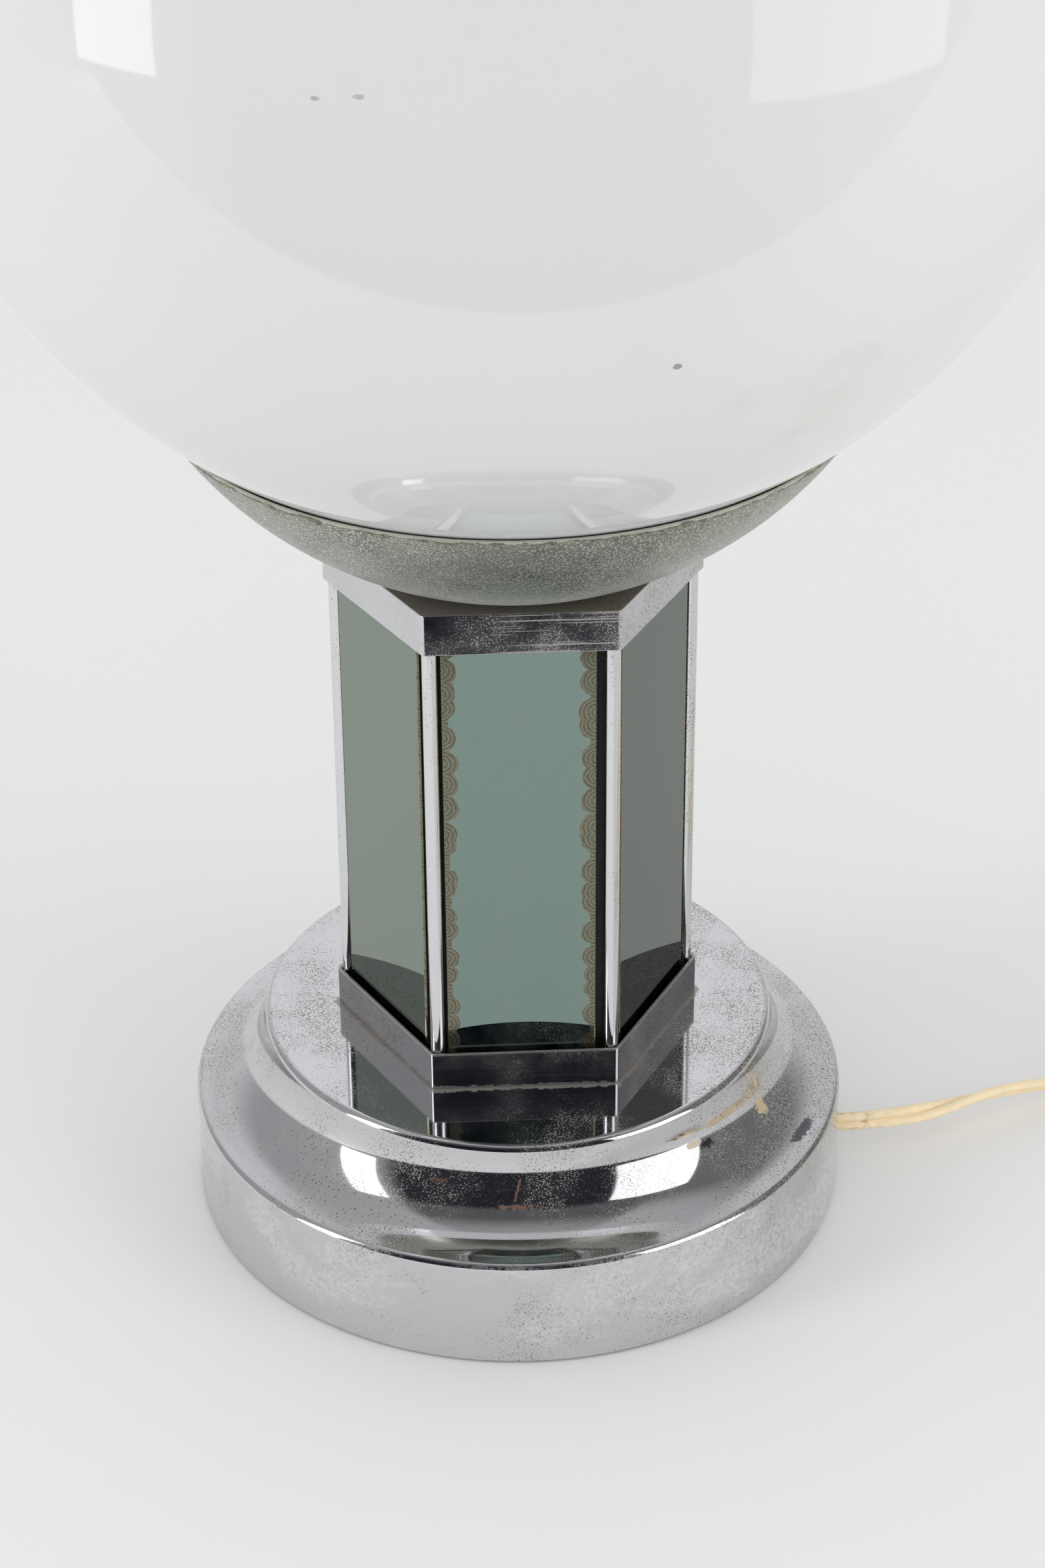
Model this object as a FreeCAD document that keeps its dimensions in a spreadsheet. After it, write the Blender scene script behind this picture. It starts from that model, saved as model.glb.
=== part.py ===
import FreeCAD, Part
import math
import os
import re

import Sketcher
from FreeCAD import Placement, Rotation, Vector

# Glass globe table lamp: a spun steel base, a hexagonal column of six mirrored glass
# panels between corner rods, a spun dish and an opal glass globe resting in the dish.
# Origin: centre of the felt's underside. +Z up, -Y is the column's front face.
# Lengths are in millimetres and angles in degrees.

SIZES = {
    # spun base
    "felt_thickness": 2.0,
    "plate_thickness": 2.0,
    "base_radius": 90.0,
    "base_lift": 1.0,
    "shell_wall": 1.0,
    "shoulder_height": 32.5,
    "shoulder_slope": 12.0,
    "shoulder_round": 2.0,
    "cove_radius": 21.0,
    "disc_radius": 70.0,
    "disc_height": 56.2,
    "disc_roll": 2.0,
    "ballast_thickness": 20.0,
    "ballast_gap": 5.5,
    "recess_radius": 16.0,
    "recess_depth": 15.0,
    "slot_width": 7.0,
    "slot_height": 13.0,
    "spacer_radius": 9.0,
    "base_screw_circle": 66.0,
    "base_screw_length": 12.0,
    "screw_radius": 2.0,
    "screw_head_radius": 4.0,
    "felt_inset": 1.5,
    # clearances
    "loose_gap": 0.3,
    "close_gap": 0.1,
    # threaded stem and its nuts
    "stem_radius": 5.0,
    "stem_bore": 4.0,
    "stem_end": 1.0,
    "stem_grip": 8.0,
    "nut_flats": 17.0,
    "nut_height": 5.0,
    "washer_radius": 14.0,
    "washer_thickness": 1.5,
    # hexagonal column
    "hex_radius": 49.6,
    "pan_depth": 11.2,
    "column_height": 144.2,
    "rod_radius": 2.0,
    "glass_width": 39.5,
    "glass_thickness": 3.0,
    "glass_inset": 1.2,
    "glass_bevel": 0.5,
    "core_wall": 1.0,
    # dish
    "dish_curve": 104.6,
    "dish_rim_radius": 89.5,
    "dish_depth": 44.1,
    "dish_wall": 1.2,
    "rim_bead": 0.6,
    # globe
    "globe_radius": 150.0,
    "globe_wall": 3.0,
    "globe_mouth": 50.0,
    # lampholder and bulb
    "holder_rise": 31.6,
    "holder_radius": 20.0,
    "holder_wall": 1.8,
    "holder_cap_height": 28.0,
    "neck_radius": 9.0,
    "neck_height": 7.0,
    "cone_height": 8.0,
    "skirt_height": 33.0,
    "skirt_band": 6.0,
    "skirt_taper": 2.0,
    "skirt_lip": 0.5,
    "insert_rise": 5.0,
    "insert_height": 17.0,
    "insert_step": 1.0,
    "terminal_circle": 10.0,
    "terminal_radius": 1.5,
    "terminal_height": 8.0,
    "sleeve_radius": 14.4,
    "sleeve_wall": 0.7,
    "sleeve_height": 26.0,
    "spring_length": 10.0,
    "spring_width": 4.0,
    "spring_thickness": 0.6,
    "spring_height": 2.3,
    "bulb_radius": 30.0,
    "bulb_wall": 1.0,
    "bulb_length": 106.0,
    "button_radius": 4.5,
    "button_height": 1.4,
    "insulator_height": 3.0,
    "cap_radius": 13.2,
    "cap_height": 21.6,
    "cap_step": 3.0,
    "cap_wall": 0.5,
    "thread_depth": 0.9,
    "thread_pitch": 3.6,
    "neck_seat": 2.0,
    "flare_angle": 25.0,
    # flexible cord and what it carries
    "cord_azimuth": -3.5,
    "cord_height": 12.5,
    "cord_width": 5.4,
    "core_width": 2.4,
    "cord_inside": 5.0,
    "cord_drop": 2.5,
    "core_rise": 14.0,
    "bush_radius": 4.4,
    "bush_depth": 2.5,
    "bush_rim": 1.4,
    "clamp_length": 12.0,
    "clamp_inset": 30.0,
    "coil_inner": 21.6,
    "coil_pitch": 5.9,
    "coil_bend": 28.0,
    "switch_length": 58.0,
    "switch_width": 25.0,
    "switch_height": 15.6,
    "switch_wall": 1.6,
    "switch_axis": 6.4,
    "switch_corner": 6.0,
    "switch_end": 2.0,
    "post_radius": 3.0,
    "post_inset": 8.0,
    "post_offset": 6.5,
    "case_screw_radius": 1.0,
    "case_screw_length": 9.0,
    "case_head_radius": 2.4,
    "case_head_height": 1.6,
    "block_length": 8.0,
    "block_width": 4.0,
    "block_inset": 13.0,
    "block_offset": 3.2,
    "rocker_radius": 7.0,
    "rocker_width": 8.0,
    "rocker_tilt": 8.0,
    "rocker_drop": 4.6,
    "rocker_dip": 4.4,
    "rocker_depth": 3.0,
    "pivot_radius": 1.0,
    "lug_width": 1.6,
    "lug_reach": 2.5,
    "cord_seat": 1.5,
    "plug_width": 35.3,
    "plug_length": 37.0,
    "plug_height": 13.7,
    "plug_corner": 4.0,
    "plug_waist": 15.0,
    "relief_length": 20.0,
    "relief_radius": 3.6,
    "relief_step": 1.5,
    "pin_radius": 2.0,
    "pin_length": 19.0,
    "pin_seat": 8.0,
    "pin_pitch": 18.6,
    "sleeve_length": 10.0,
    "sleeve_skin": 0.35,
}

# Heights and radii that follow from the sizes, as expressions of them.
DERIVED = {
    "plate_top": "felt_thickness + plate_thickness",
    "ballast_top": "plate_top + ballast_thickness",
    "ballast_radius": "base_radius - shell_wall - ballast_gap",
    "stem_hole": "stem_radius + close_gap",
    "slope_rise": "(base_radius - disc_radius) * tan(shoulder_slope)",
    "step_height": "shoulder_height + slope_rise",
    "cove_room": "0.98 * (disc_height - disc_roll - step_height) * tan(45 + shoulder_slope / 2)",
    "cove_fit": "min(cove_radius; cove_room)",
    "slope_wall": "shell_wall / cos(shoulder_slope)",
    "slope_shift": "shell_wall * tan(shoulder_slope) - slope_wall",
    "recess_top": "plate_top + recess_depth",
    "lower_nut_top": "recess_top - washer_thickness",
    "stem_foot": "lower_nut_top - nut_height - stem_end",
    "tray_top": "disc_height + shell_wall",
    "hex_flat": "hex_radius * cos(30)",
    "hex_inner_flat": "hex_flat - shell_wall",
    "rod_circle": "(hex_inner_flat - rod_radius - close_gap) / cos(30)",
    "cap_under": "disc_height + column_height - shell_wall",
    "cap_top": "disc_height + column_height",
    "glass_face": "hex_inner_flat - glass_inset",
    "glass_back": "glass_face - glass_thickness",
    "core_flat": "glass_back - loose_gap",
    "rim_height": "cap_top + dish_depth",
    "dish_centre": "rim_height + sqrt(dish_curve ^ 2 - dish_rim_radius ^ 2)",
    "bead_circle": "dish_rim_radius - rim_bead",
    "dish_floor": "cap_top + dish_wall",
    "globe_reach": "globe_radius + rim_bead + loose_gap",
    "globe_centre": "rim_height + sqrt(globe_reach ^ 2 - bead_circle ^ 2)",
    "dish_washer_top": "dish_floor + washer_thickness",
    "holder_foot": "cap_top + holder_rise",
    "stem_head": "holder_foot + stem_grip",
    "holder_joint": "holder_foot + holder_cap_height",
    "insert_top": "holder_joint + insert_rise",
    "insert_foot": "insert_top - insert_height",
    "insert_room": "holder_radius - holder_wall - insert_step",
    "insulator_foot": "bulb_foot + button_height",
    "bulb_foot": "insert_top + spring_height + 3 * close_gap",
    "cap_foot": "insulator_foot + insulator_height",
    "bulb_neck": "cap_foot + cap_height",
    "thread_root": "cap_radius - thread_depth",
    "envelope_neck": "thread_root - cap_wall - 2 * close_gap",
    "bulb_top": "bulb_foot + bulb_length",
    "wall_inside": "base_radius - shell_wall",
    "drill_start": "wall_inside - cord_inside",
    "drill_length": "2 * cord_inside + 2 * shell_wall",
    "clamp_start": "ballast_radius - clamp_inset",
    "cord_radius": "cord_width / 2",
    "switch_hole": "cord_radius + close_gap",
    "pivot_height": "switch_height - rocker_drop",
    "rocker_slot": "sqrt(rocker_radius ^ 2 - (rocker_drop - switch_wall) ^ 2) + loose_gap",
    "lug_offset": "rocker_width / 2 + loose_gap",
    "coil_low": "cord_radius + close_gap / 2",
    "plug_axis": "plug_height / 2",
}

ALIASES = sorted(SIZES, key=len, reverse=True)


def bound(text):
    """An expression of the sheet's cells, with every derived name written out."""
    if not isinstance(text, str):
        return repr(text)
    while True:
        word = next((w for w in re.findall(r"\b[a-z_]+\b", text) if w in DERIVED), None)
        if word is None:
            break
        text = re.sub(rf"\b{word}\b", f"({DERIVED[word]})", text)
    return re.sub(r"\b[a-z_]+\b", lambda m: f"Sizes.{m[0]}" if m[0] in SIZES else m[0], text)


doc = FreeCAD.newDocument("globe_lamp")
sheet = doc.addObject("Spreadsheet::Sheet", "Sizes")
for row, (alias, size) in enumerate(SIZES.items(), start=1):
    sheet.set(f"A{row}", alias)
    sheet.set(f"B{row}", str(size))
    sheet.setAlias(f"B{row}", alias)
doc.recompute()

SUBPARTS = []


def value(text):
    """The number that an expression of the sheet gives now."""
    number = sheet.evalExpression(bound(text))
    return float(getattr(number, "Value", number))


def keep(item, label):
    """Names a finished piece, which is written to a file of that name."""
    item.Label = label
    SUBPARTS.append(item)
    return item


def bind(item, **properties):
    for name, text in properties.items():
        item.setExpression(name.replace("__", "."), bound(text))
    return item


def put(item, x="0", y="0", z="0"):
    return bind(item, Placement__Base__x=x, Placement__Base__y=y, Placement__Base__z=z)


def turn(item, angle):
    """Turns a piece about the vertical axis through the origin."""
    item.Placement = Placement(Vector(), Rotation(Vector(0, 0, 1), value(angle)))
    return bind(item, Placement__Rotation__Angle=angle)


def cylinder(name, radius, height, x="0", y="0", z="0", axis=Vector(0, 0, 1)):
    item = doc.addObject("Part::Cylinder", name)
    item.Placement = Placement(Vector(), Rotation(Vector(0, 0, 1), axis))
    return put(bind(item, Radius=radius, Height=height), x, y, z)


def block(name, length, width, height, x="0", y="0", z="0"):
    item = doc.addObject("Part::Box", name)
    return put(bind(item, Length=length, Width=width, Height=height), x, y, z)


def hexagon(name, radius, height, z="0"):
    item = doc.addObject("Part::Prism", name)
    item.Polygon = 6
    return put(bind(item, Circumradius=radius, Height=height), z=z)


def sphere(name, radius, z):
    item = doc.addObject("Part::Sphere", name)
    return put(bind(item, Radius=radius), z=z)


def fused(name, *pieces):
    item = doc.addObject("Part::MultiFuse", name)
    item.Shapes = list(pieces)
    return item


def common(name, *pieces):
    item = doc.addObject("Part::MultiCommon", name)
    item.Shapes = list(pieces)
    return item


def cut(name, base, *tools):
    item = doc.addObject("Part::Cut", name)
    item.Base = base
    item.Tool = tools[0] if len(tools) == 1 else fused(name + "_tools", *tools)
    return item


def plane_of(body, role):
    return next(f for f in body.Origin.OriginFeatures if f.Role == role)


def outline(body, name, role, corners):
    """A closed sketch of straight lines whose corners are bound to the sheet."""
    sketch = body.newObject("Sketcher::SketchObject", name)
    sketch.AttachmentSupport = [(plane_of(body, role), "")]
    sketch.MapMode = "FlatFace"
    spots = [Vector(value(a), value(b), 0) for a, b in corners]
    lines = [Part.LineSegment(p, q) for p, q in zip(spots, spots[1:] + spots[:1])]
    sketch.addGeometry(lines, False)
    for i in range(len(corners)):
        before = (i - 1) % len(corners)
        sketch.addConstraint(Sketcher.Constraint("Coincident", before, 2, i, 1))
    for i, (spot, corner) in enumerate(zip(spots, corners)):
        for way, size, text in (("DistanceX", spot.x, corner[0]), ("DistanceY", spot.y, corner[1])):
            if abs(size) < 1e-9:
                line = -2 if way == "DistanceX" else -1
                sketch.addConstraint(Sketcher.Constraint("PointOnObject", i, 1, line))
                continue
            rule = sketch.addConstraint(Sketcher.Constraint(way, -1, 1, i, 1, size))
            sketch.setExpression(f"Constraints[{rule}]", bound(text))
    return sketch


def turned(name, corners):
    """A body of revolution about the vertical axis, from (radius, height) corners."""
    body = doc.addObject("PartDesign::Body", name)
    sketch = outline(body, name + "_profile", "XZ_Plane", corners)
    solid = body.newObject("PartDesign::Revolution", name + "_turned")
    solid.Profile = sketch
    solid.ReferenceAxis = (sketch, ["V_Axis"])
    solid.Angle = 360
    body.Tip = solid
    doc.recompute()
    return body


def padded(name, role, corners, depth, midplane=False):
    """A body made by padding an outline."""
    body = doc.addObject("PartDesign::Body", name)
    sketch = outline(body, name + "_profile", role, corners)
    solid = body.newObject("PartDesign::Pad", name + "_pad")
    solid.Profile = sketch
    solid.SideType = "Symmetric" if midplane else "One side"
    bind(solid, Length=depth)
    body.Tip = solid
    doc.recompute()
    return body


def rounded(body, name, radius, chosen, kind="PartDesign::Fillet"):
    """Rounds or bevels the edges that the test chosen(edge) picks on the body's tip."""
    base = body.Tip
    edges = [f"Edge{i}" for i, e in enumerate(base.Shape.Edges, start=1) if chosen(e)]
    item = body.newObject(kind, name)
    item.Base = (base, edges)
    bind(item, **{"Radius" if kind.endswith("Fillet") else "Size": radius})
    body.Tip = item
    doc.recompute()
    return item


def ring_at(radius, height):
    """A test that picks the round edge of that radius at that height."""
    r, z = value(radius), value(height)

    def chosen(edge):
        curve = edge.Curve
        if not isinstance(curve, Part.Circle):
            return False
        return abs(curve.Radius - r) < 0.01 and abs(curve.Center.z - z) < 0.01

    return chosen


def washer(name, z):
    return cut(
        name,
        cylinder(name + "_disc", "washer_radius", "washer_thickness", z=z),
        cylinder(name + "_hole", "stem_hole", "washer_thickness + 2", z=f"{z} - 1"),
    )


def nut(name, z):
    return cut(
        name,
        hexagon(name + "_block", "nut_flats / 2 / cos(30)", "nut_height", z),
        cylinder(name + "_hole", "stem_hole", "nut_height + 2", z=f"{z} - 1"),
    )


def make_base():
    """Spun shell, ballast, bottom plate, felt and screws."""
    shell = turned(
        "shell_spun",
        [
            ("base_radius", "base_lift"),
            ("base_radius", "shoulder_height"),
            ("disc_radius", "step_height"),
            ("disc_radius", "disc_height"),
            ("stem_hole", "disc_height"),
            ("stem_hole", "disc_height - shell_wall"),
            ("disc_radius - shell_wall", "disc_height - shell_wall"),
            ("disc_radius - shell_wall", "step_height + slope_shift"),
            ("wall_inside", "shoulder_height + slope_shift"),
            ("wall_inside", "base_lift"),
        ],
    )
    roundings = [
        ("shoulder_outer", "shoulder_round", "base_radius", "shoulder_height"),
        ("cove_outer", "cove_fit", "disc_radius", "step_height"),
        ("roll_outer", "disc_roll", "disc_radius", "disc_height"),
        (
            "shoulder_inner",
            "shoulder_round - shell_wall",
            "wall_inside",
            "shoulder_height + slope_shift",
        ),
        (
            "cove_inner",
            "cove_fit + shell_wall",
            "disc_radius - shell_wall",
            "step_height + slope_shift",
        ),
        (
            "roll_inner",
            "disc_roll - shell_wall",
            "disc_radius - shell_wall",
            "disc_height - shell_wall",
        ),
    ]
    for name, radius, at, height in roundings:
        rounded(shell, name, radius, ring_at(at, height))
    outward = Vector(1, 0, 0)
    hole = cylinder(
        "shell_cord_hole",
        "bush_radius + close_gap",
        "drill_length",
        x="drill_start",
        z="cord_height",
        axis=outward,
    )
    keep(turn(cut("shell", shell, hole), "cord_azimuth"), "base_shell")

    slot = block(
        "ballast_slot",
        "base_radius",
        "slot_width",
        "slot_height + 1",
        y="-slot_width / 2",
        z="plate_top - 1",
    )
    recess = cylinder(
        "ballast_recess", "recess_radius", "recess_depth + 1", z="plate_top - 1"
    )
    bore = cylinder("ballast_bore", "stem_hole", "ballast_thickness + 2", z="plate_top - 1")
    disc = cylinder("ballast_disc", "ballast_radius", "ballast_thickness", z="plate_top")
    threads = [
        cylinder(
            f"ballast_thread_{i}",
            "screw_radius",
            "base_screw_length",
            x=f"base_screw_circle * cos({60 + 120 * i})",
            y=f"base_screw_circle * sin({60 + 120 * i})",
            z="plate_top - 0.5",
        )
        for i in range(3)
    ]
    keep(
        turn(cut("ballast_cast", disc, slot, recess, bore, *threads), "cord_azimuth"),
        "ballast",
    )

    plate = cylinder(
        "plate_disc", "wall_inside - loose_gap", "plate_thickness", z="felt_thickness"
    )
    sinks, screws = [], []
    for i in range(3):
        x = f"base_screw_circle * cos({60 + 120 * i})"
        y = f"base_screw_circle * sin({60 + 120 * i})"
        for made, grow in ((sinks, "close_gap"), (screws, "0")):
            head = doc.addObject("Part::Cone", "screw_head")
            wide, narrow = f"screw_head_radius + {grow}", f"screw_radius + {grow}"
            bind(head, Radius1=wide, Radius2=narrow, Height="plate_thickness")
            put(head, x, y, "felt_thickness")
            made.append(head)
        screws.append(
            cylinder(
                "screw_shank",
                "screw_radius - close_gap",
                "base_screw_length - 1",
                x,
                y,
                "plate_top - 0.5",
            )
        )
    keep(turn(cut("plate", plate, *sinks), "cord_azimuth"), "base_plate")
    keep(turn(fused("plate_screws", *screws), "cord_azimuth"), "base_screws")
    keep(cylinder("felt", "wall_inside - felt_inset", "felt_thickness"), "felt_pad")
    keep(
        cut(
            "spacer",
            cylinder(
                "spacer_tube",
                "spacer_radius",
                "disc_height - shell_wall - ballast_top",
                z="ballast_top",
            ),
            cylinder(
                "spacer_bore",
                "stem_hole",
                "disc_height - ballast_top",
                z="ballast_top - 0.5",
            ),
        ),
        "base_spacer",
    )

    sleeve = cylinder(
        "bush_sleeve",
        "bush_radius",
        "base_radius - wall_inside + bush_depth",
        x="wall_inside - bush_depth",
        z="cord_height",
        axis=outward,
    )
    collar = cylinder(
        "bush_collar",
        "bush_radius + bush_rim",
        "bush_depth - 2 * loose_gap",
        x="wall_inside - bush_depth",
        z="cord_height",
        axis=outward,
    )
    opening = cylinder(
        "bush_bore",
        "cord_radius + close_gap",
        "drill_length",
        x="drill_start",
        z="cord_height",
        axis=outward,
    )
    bush = cut("bush", fused("bush_solid", sleeve, collar), opening)
    keep(turn(bush, "cord_azimuth"), "cord_bush")

    clamp = block(
        "clamp_block",
        "clamp_length",
        "slot_width - 2 * close_gap",
        "slot_height - loose_gap",
        x="clamp_start",
        y="close_gap - slot_width / 2",
        z="plate_top",
    )
    channel = block(
        "clamp_channel",
        "clamp_length + 2",
        "2 * core_width + 4 * close_gap",
        "core_width + 4 * close_gap",
        x="clamp_start - 1",
        y="-core_width - 2 * close_gap",
        z="cord_height - cord_drop - core_width / 2 - 2 * close_gap",
    )
    keep(turn(cut("clamp", clamp, channel), "cord_azimuth"), "cord_clamp")


def make_stem():
    """The threaded tube that holds the lamp together, with its nuts and washers."""
    keep(
        cut(
            "stem",
            cylinder("stem_rod", "stem_radius", "stem_head - stem_foot", z="stem_foot"),
            cylinder(
                "stem_hollow", "stem_bore", "stem_head - stem_foot + 2", z="stem_foot - 1"
            ),
        ),
        "stem_tube",
    )
    keep(washer("washer_low", "lower_nut_top"), "lower_washer")
    keep(nut("nut_low", "lower_nut_top - nut_height"), "lower_nut")
    keep(washer("washer_high", "dish_floor"), "dish_washer")
    keep(nut("nut_high", "dish_washer_top"), "dish_nut")


def pan(name, foot, inside_foot, plate_foot):
    """A hexagonal pressed pan: a flat plate with a lip all round."""
    inner = "hex_inner_flat / cos(30)"
    return cut(
        name,
        hexagon(name + "_outer", "hex_radius", "pan_depth", foot),
        hexagon(name + "_inner", inner, "pan_depth", inside_foot),
        cylinder(name + "_hole", "stem_hole", "shell_wall + 2", z=f"{plate_foot} - 1"),
    )


def make_column():
    """Two hexagonal pans with the glass panels, corner rods and core between them."""
    keep(pan("tray_pan", "disc_height", "tray_top", "disc_height"), "column_tray")
    keep(
        pan("cap_pan", "cap_top - pan_depth", "cap_under - pan_depth", "cap_under"),
        "column_cap",
    )
    core_height = "cap_under - tray_top"
    keep(
        cut(
            "core",
            hexagon("core_outer", "core_flat / cos(30)", core_height, "tray_top"),
            hexagon(
                "core_inner",
                "(core_flat - core_wall) / cos(30)",
                f"{core_height} + 2",
                "tray_top - 1",
            ),
        ),
        "column_core",
    )
    panel_foot, panel_head = "tray_top + loose_gap", "cap_under - loose_gap"
    for i in range(6):
        name = f"glass_panel_{i + 1}"
        panel = padded(
            name + "_body",
            "XZ_Plane",
            [
                ("-glass_width / 2", panel_foot),
                ("glass_width / 2", panel_foot),
                ("glass_width / 2", panel_head),
                ("-glass_width / 2", panel_head),
            ],
            "glass_thickness",
        )
        front = min(v.Point.y for v in panel.Tip.Shape.Vertexes)

        def on_front(edge):
            return all(abs(v.Point.y - front) < 1e-6 for v in edge.Vertexes)

        rounded(panel, name + "_bevel", "glass_bevel", on_front, "PartDesign::Chamfer")
        angle = 60 * i
        panel.Placement = Placement(Vector(), Rotation(Vector(0, 0, 1), angle))
        away = "(glass_face - glass_thickness)"
        put(panel, f"{away} * sin({angle})", f"-{away} * cos({angle})")
        keep(panel, name)
    for i in range(6):
        angle = 60 * i
        rod = cylinder(
            f"corner_rod_{i + 1}_bar",
            "rod_radius",
            f"{core_height} - 2 * close_gap",
            x=f"rod_circle * cos({angle})",
            y=f"rod_circle * sin({angle})",
            z="tray_top + close_gap",
        )
        keep(rod, f"corner_rod_{i + 1}")


def make_dish():
    """The spun dish: a spherical wall on a flat floor, with a beaded rim."""
    slab = cylinder("dish_slab", "dish_curve", "dish_depth", z="cap_top")
    hollow = cylinder("dish_hollow", "dish_curve", "dish_depth", z="dish_floor")
    outside = common("dish_outside", sphere("dish_ball", "dish_curve", "dish_centre"), slab)
    inside = common(
        "dish_inside", sphere("dish_void", "dish_curve - dish_wall", "dish_centre"), hollow
    )
    hole = cylinder("dish_hole", "stem_hole", "dish_wall + 2", z="cap_top - 1")
    wall = cut("dish_wall_cut", outside, inside, hole)
    bead = doc.addObject("Part::Torus", "dish_bead")
    put(bind(bead, Radius1="bead_circle", Radius2="rim_bead"), z="rim_height")
    keep(fused("dish_spun", wall, bead), "dish")


def make_globe():
    """The opal ball, open at the bottom where it passes over the lampholder."""
    keep(
        cut(
            "globe_ball",
            sphere("globe_outer", "globe_radius", "globe_centre"),
            sphere("globe_inner", "globe_radius - globe_wall", "globe_centre"),
            cylinder(
                "globe_opening",
                "globe_mouth",
                "globe_radius",
                z="globe_centre - globe_radius - 1",
            ),
        ),
        "globe",
    )


def make_lampholder():
    """Screw lampholder on the stem's head."""
    outer, inner = "holder_radius - skirt_lip", "holder_radius - skirt_lip - holder_wall"
    keep(
        turned(
            "holder_cap_body",
            [
                ("stem_hole", "holder_foot"),
                ("neck_radius", "holder_foot"),
                ("neck_radius", "holder_foot + neck_height"),
                (outer, "holder_foot + neck_height + cone_height"),
                (outer, "holder_joint - close_gap"),
                (inner, "holder_joint - close_gap"),
                (inner, "insert_foot"),
                ("stem_hole", "holder_foot + neck_height + holder_wall"),
            ],
        ),
        "lampholder_cap",
    )
    sleeve_room = "sleeve_radius + close_gap"
    keep(
        turned(
            "holder_shell_body",
            [
                ("insert_room", "holder_joint"),
                ("holder_radius", "holder_joint"),
                ("holder_radius", "holder_joint + skirt_band"),
                ("holder_radius - skirt_taper", "holder_joint + skirt_height"),
                (sleeve_room, "holder_joint + skirt_height"),
                (sleeve_room, "holder_joint + skirt_band"),
                ("insert_room", "insert_top + 2 * close_gap"),
            ],
        ),
        "lampholder_skirt",
    )
    insert = cylinder(
        "insert_block", "insert_room - close_gap", "insert_height", z="insert_foot"
    )
    wells = [
        cylinder(
            f"insert_well_{side}",
            "terminal_radius + close_gap",
            "terminal_height + 4",
            x=f"{side} * terminal_circle",
            z="insert_top - terminal_height - 1",
        )
        for side in (-1, 1)
    ]
    keep(cut("insert", insert, *wells), "lampholder_insert")
    keep(
        cut(
            "sleeve",
            cylinder("sleeve_tube", "sleeve_radius", "sleeve_height", z="insert_top + close_gap"),
            cylinder(
                "sleeve_bore",
                "sleeve_radius - sleeve_wall",
                "sleeve_height + 4",
                z="insert_top - 1",
            ),
        ),
        "lampholder_thread",
    )
    strip = block(
        "contact_strip",
        "spring_length",
        "spring_width",
        "spring_thickness",
        x="-spring_length / 2",
        y="-spring_width / 2",
        z="insert_top + close_gap",
    )
    button = cylinder(
        "contact_button",
        "spring_length / 4",
        "spring_height - spring_thickness + close_gap",
        z="insert_top + spring_thickness",
    )
    keep(fused("contact", strip, button), "lampholder_contact")
    keep(
        fused(
            "terminals",
            *[
                cylinder(
                    f"terminal_{side}",
                    "terminal_radius",
                    "terminal_height",
                    x=f"{side} * terminal_circle",
                    z="insert_top - terminal_height - 1 + 2 * close_gap",
                )
                for side in (-1, 1)
            ],
        ),
        "lampholder_terminals",
    )


def make_bulb():
    """Screw-cap bulb: contact, insulator, threaded cap and glass envelope."""
    keep(cylinder("bulb_button", "button_radius", "button_height", z="bulb_foot"), "bulb_contact")
    keep(
        turned(
            "bulb_insulator_body",
            [
                ("0", "insulator_foot"),
                ("button_radius + 1", "insulator_foot"),
                ("cap_radius - cap_step", "cap_foot"),
                ("0", "cap_foot"),
            ],
        ),
        "bulb_insulator",
    )
    profile = [("cap_radius - cap_step", "cap_foot"), ("thread_root", "cap_foot")]
    for i in range(5):
        profile.append(("cap_radius", f"cap_foot + {i + 0.5} * thread_pitch"))
        profile.append(("thread_root", f"cap_foot + {i + 1} * thread_pitch"))
    profile += [
        ("thread_root", "bulb_neck"),
        ("thread_root - cap_wall", "bulb_neck"),
        ("thread_root - cap_wall", "cap_foot + 2 * cap_wall"),
        ("cap_radius - cap_step", "cap_foot + 2 * cap_wall"),
    ]
    keep(turned("bulb_cap_body", profile), "bulb_cap")

    ball_z = "(bulb_top - bulb_radius)"
    forms = []
    for name, wide, neck, down in (
        ("outside", "bulb_radius", "envelope_neck", "neck_seat"),
        ("inside", "(bulb_radius - bulb_wall)", "envelope_neck - bulb_wall", "neck_seat + 1"),
    ):
        flare = put(doc.addObject("Part::Cone", f"envelope_flare_{name}"), z="bulb_neck")
        height = f"{ball_z} - {wide} * sin(flare_angle) - bulb_neck"
        bind(flare, Radius1=neck, Radius2=f"{wide} * cos(flare_angle)", Height=height)
        tube = cylinder(f"envelope_neck_{name}", neck, down, z=f"bulb_neck - ({down})")
        ball = sphere(f"envelope_ball_{name}", wide, ball_z)
        forms.append(fused(f"envelope_{name}", ball, flare, tube))
    keep(cut("envelope", *forms), "bulb_glass")


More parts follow.
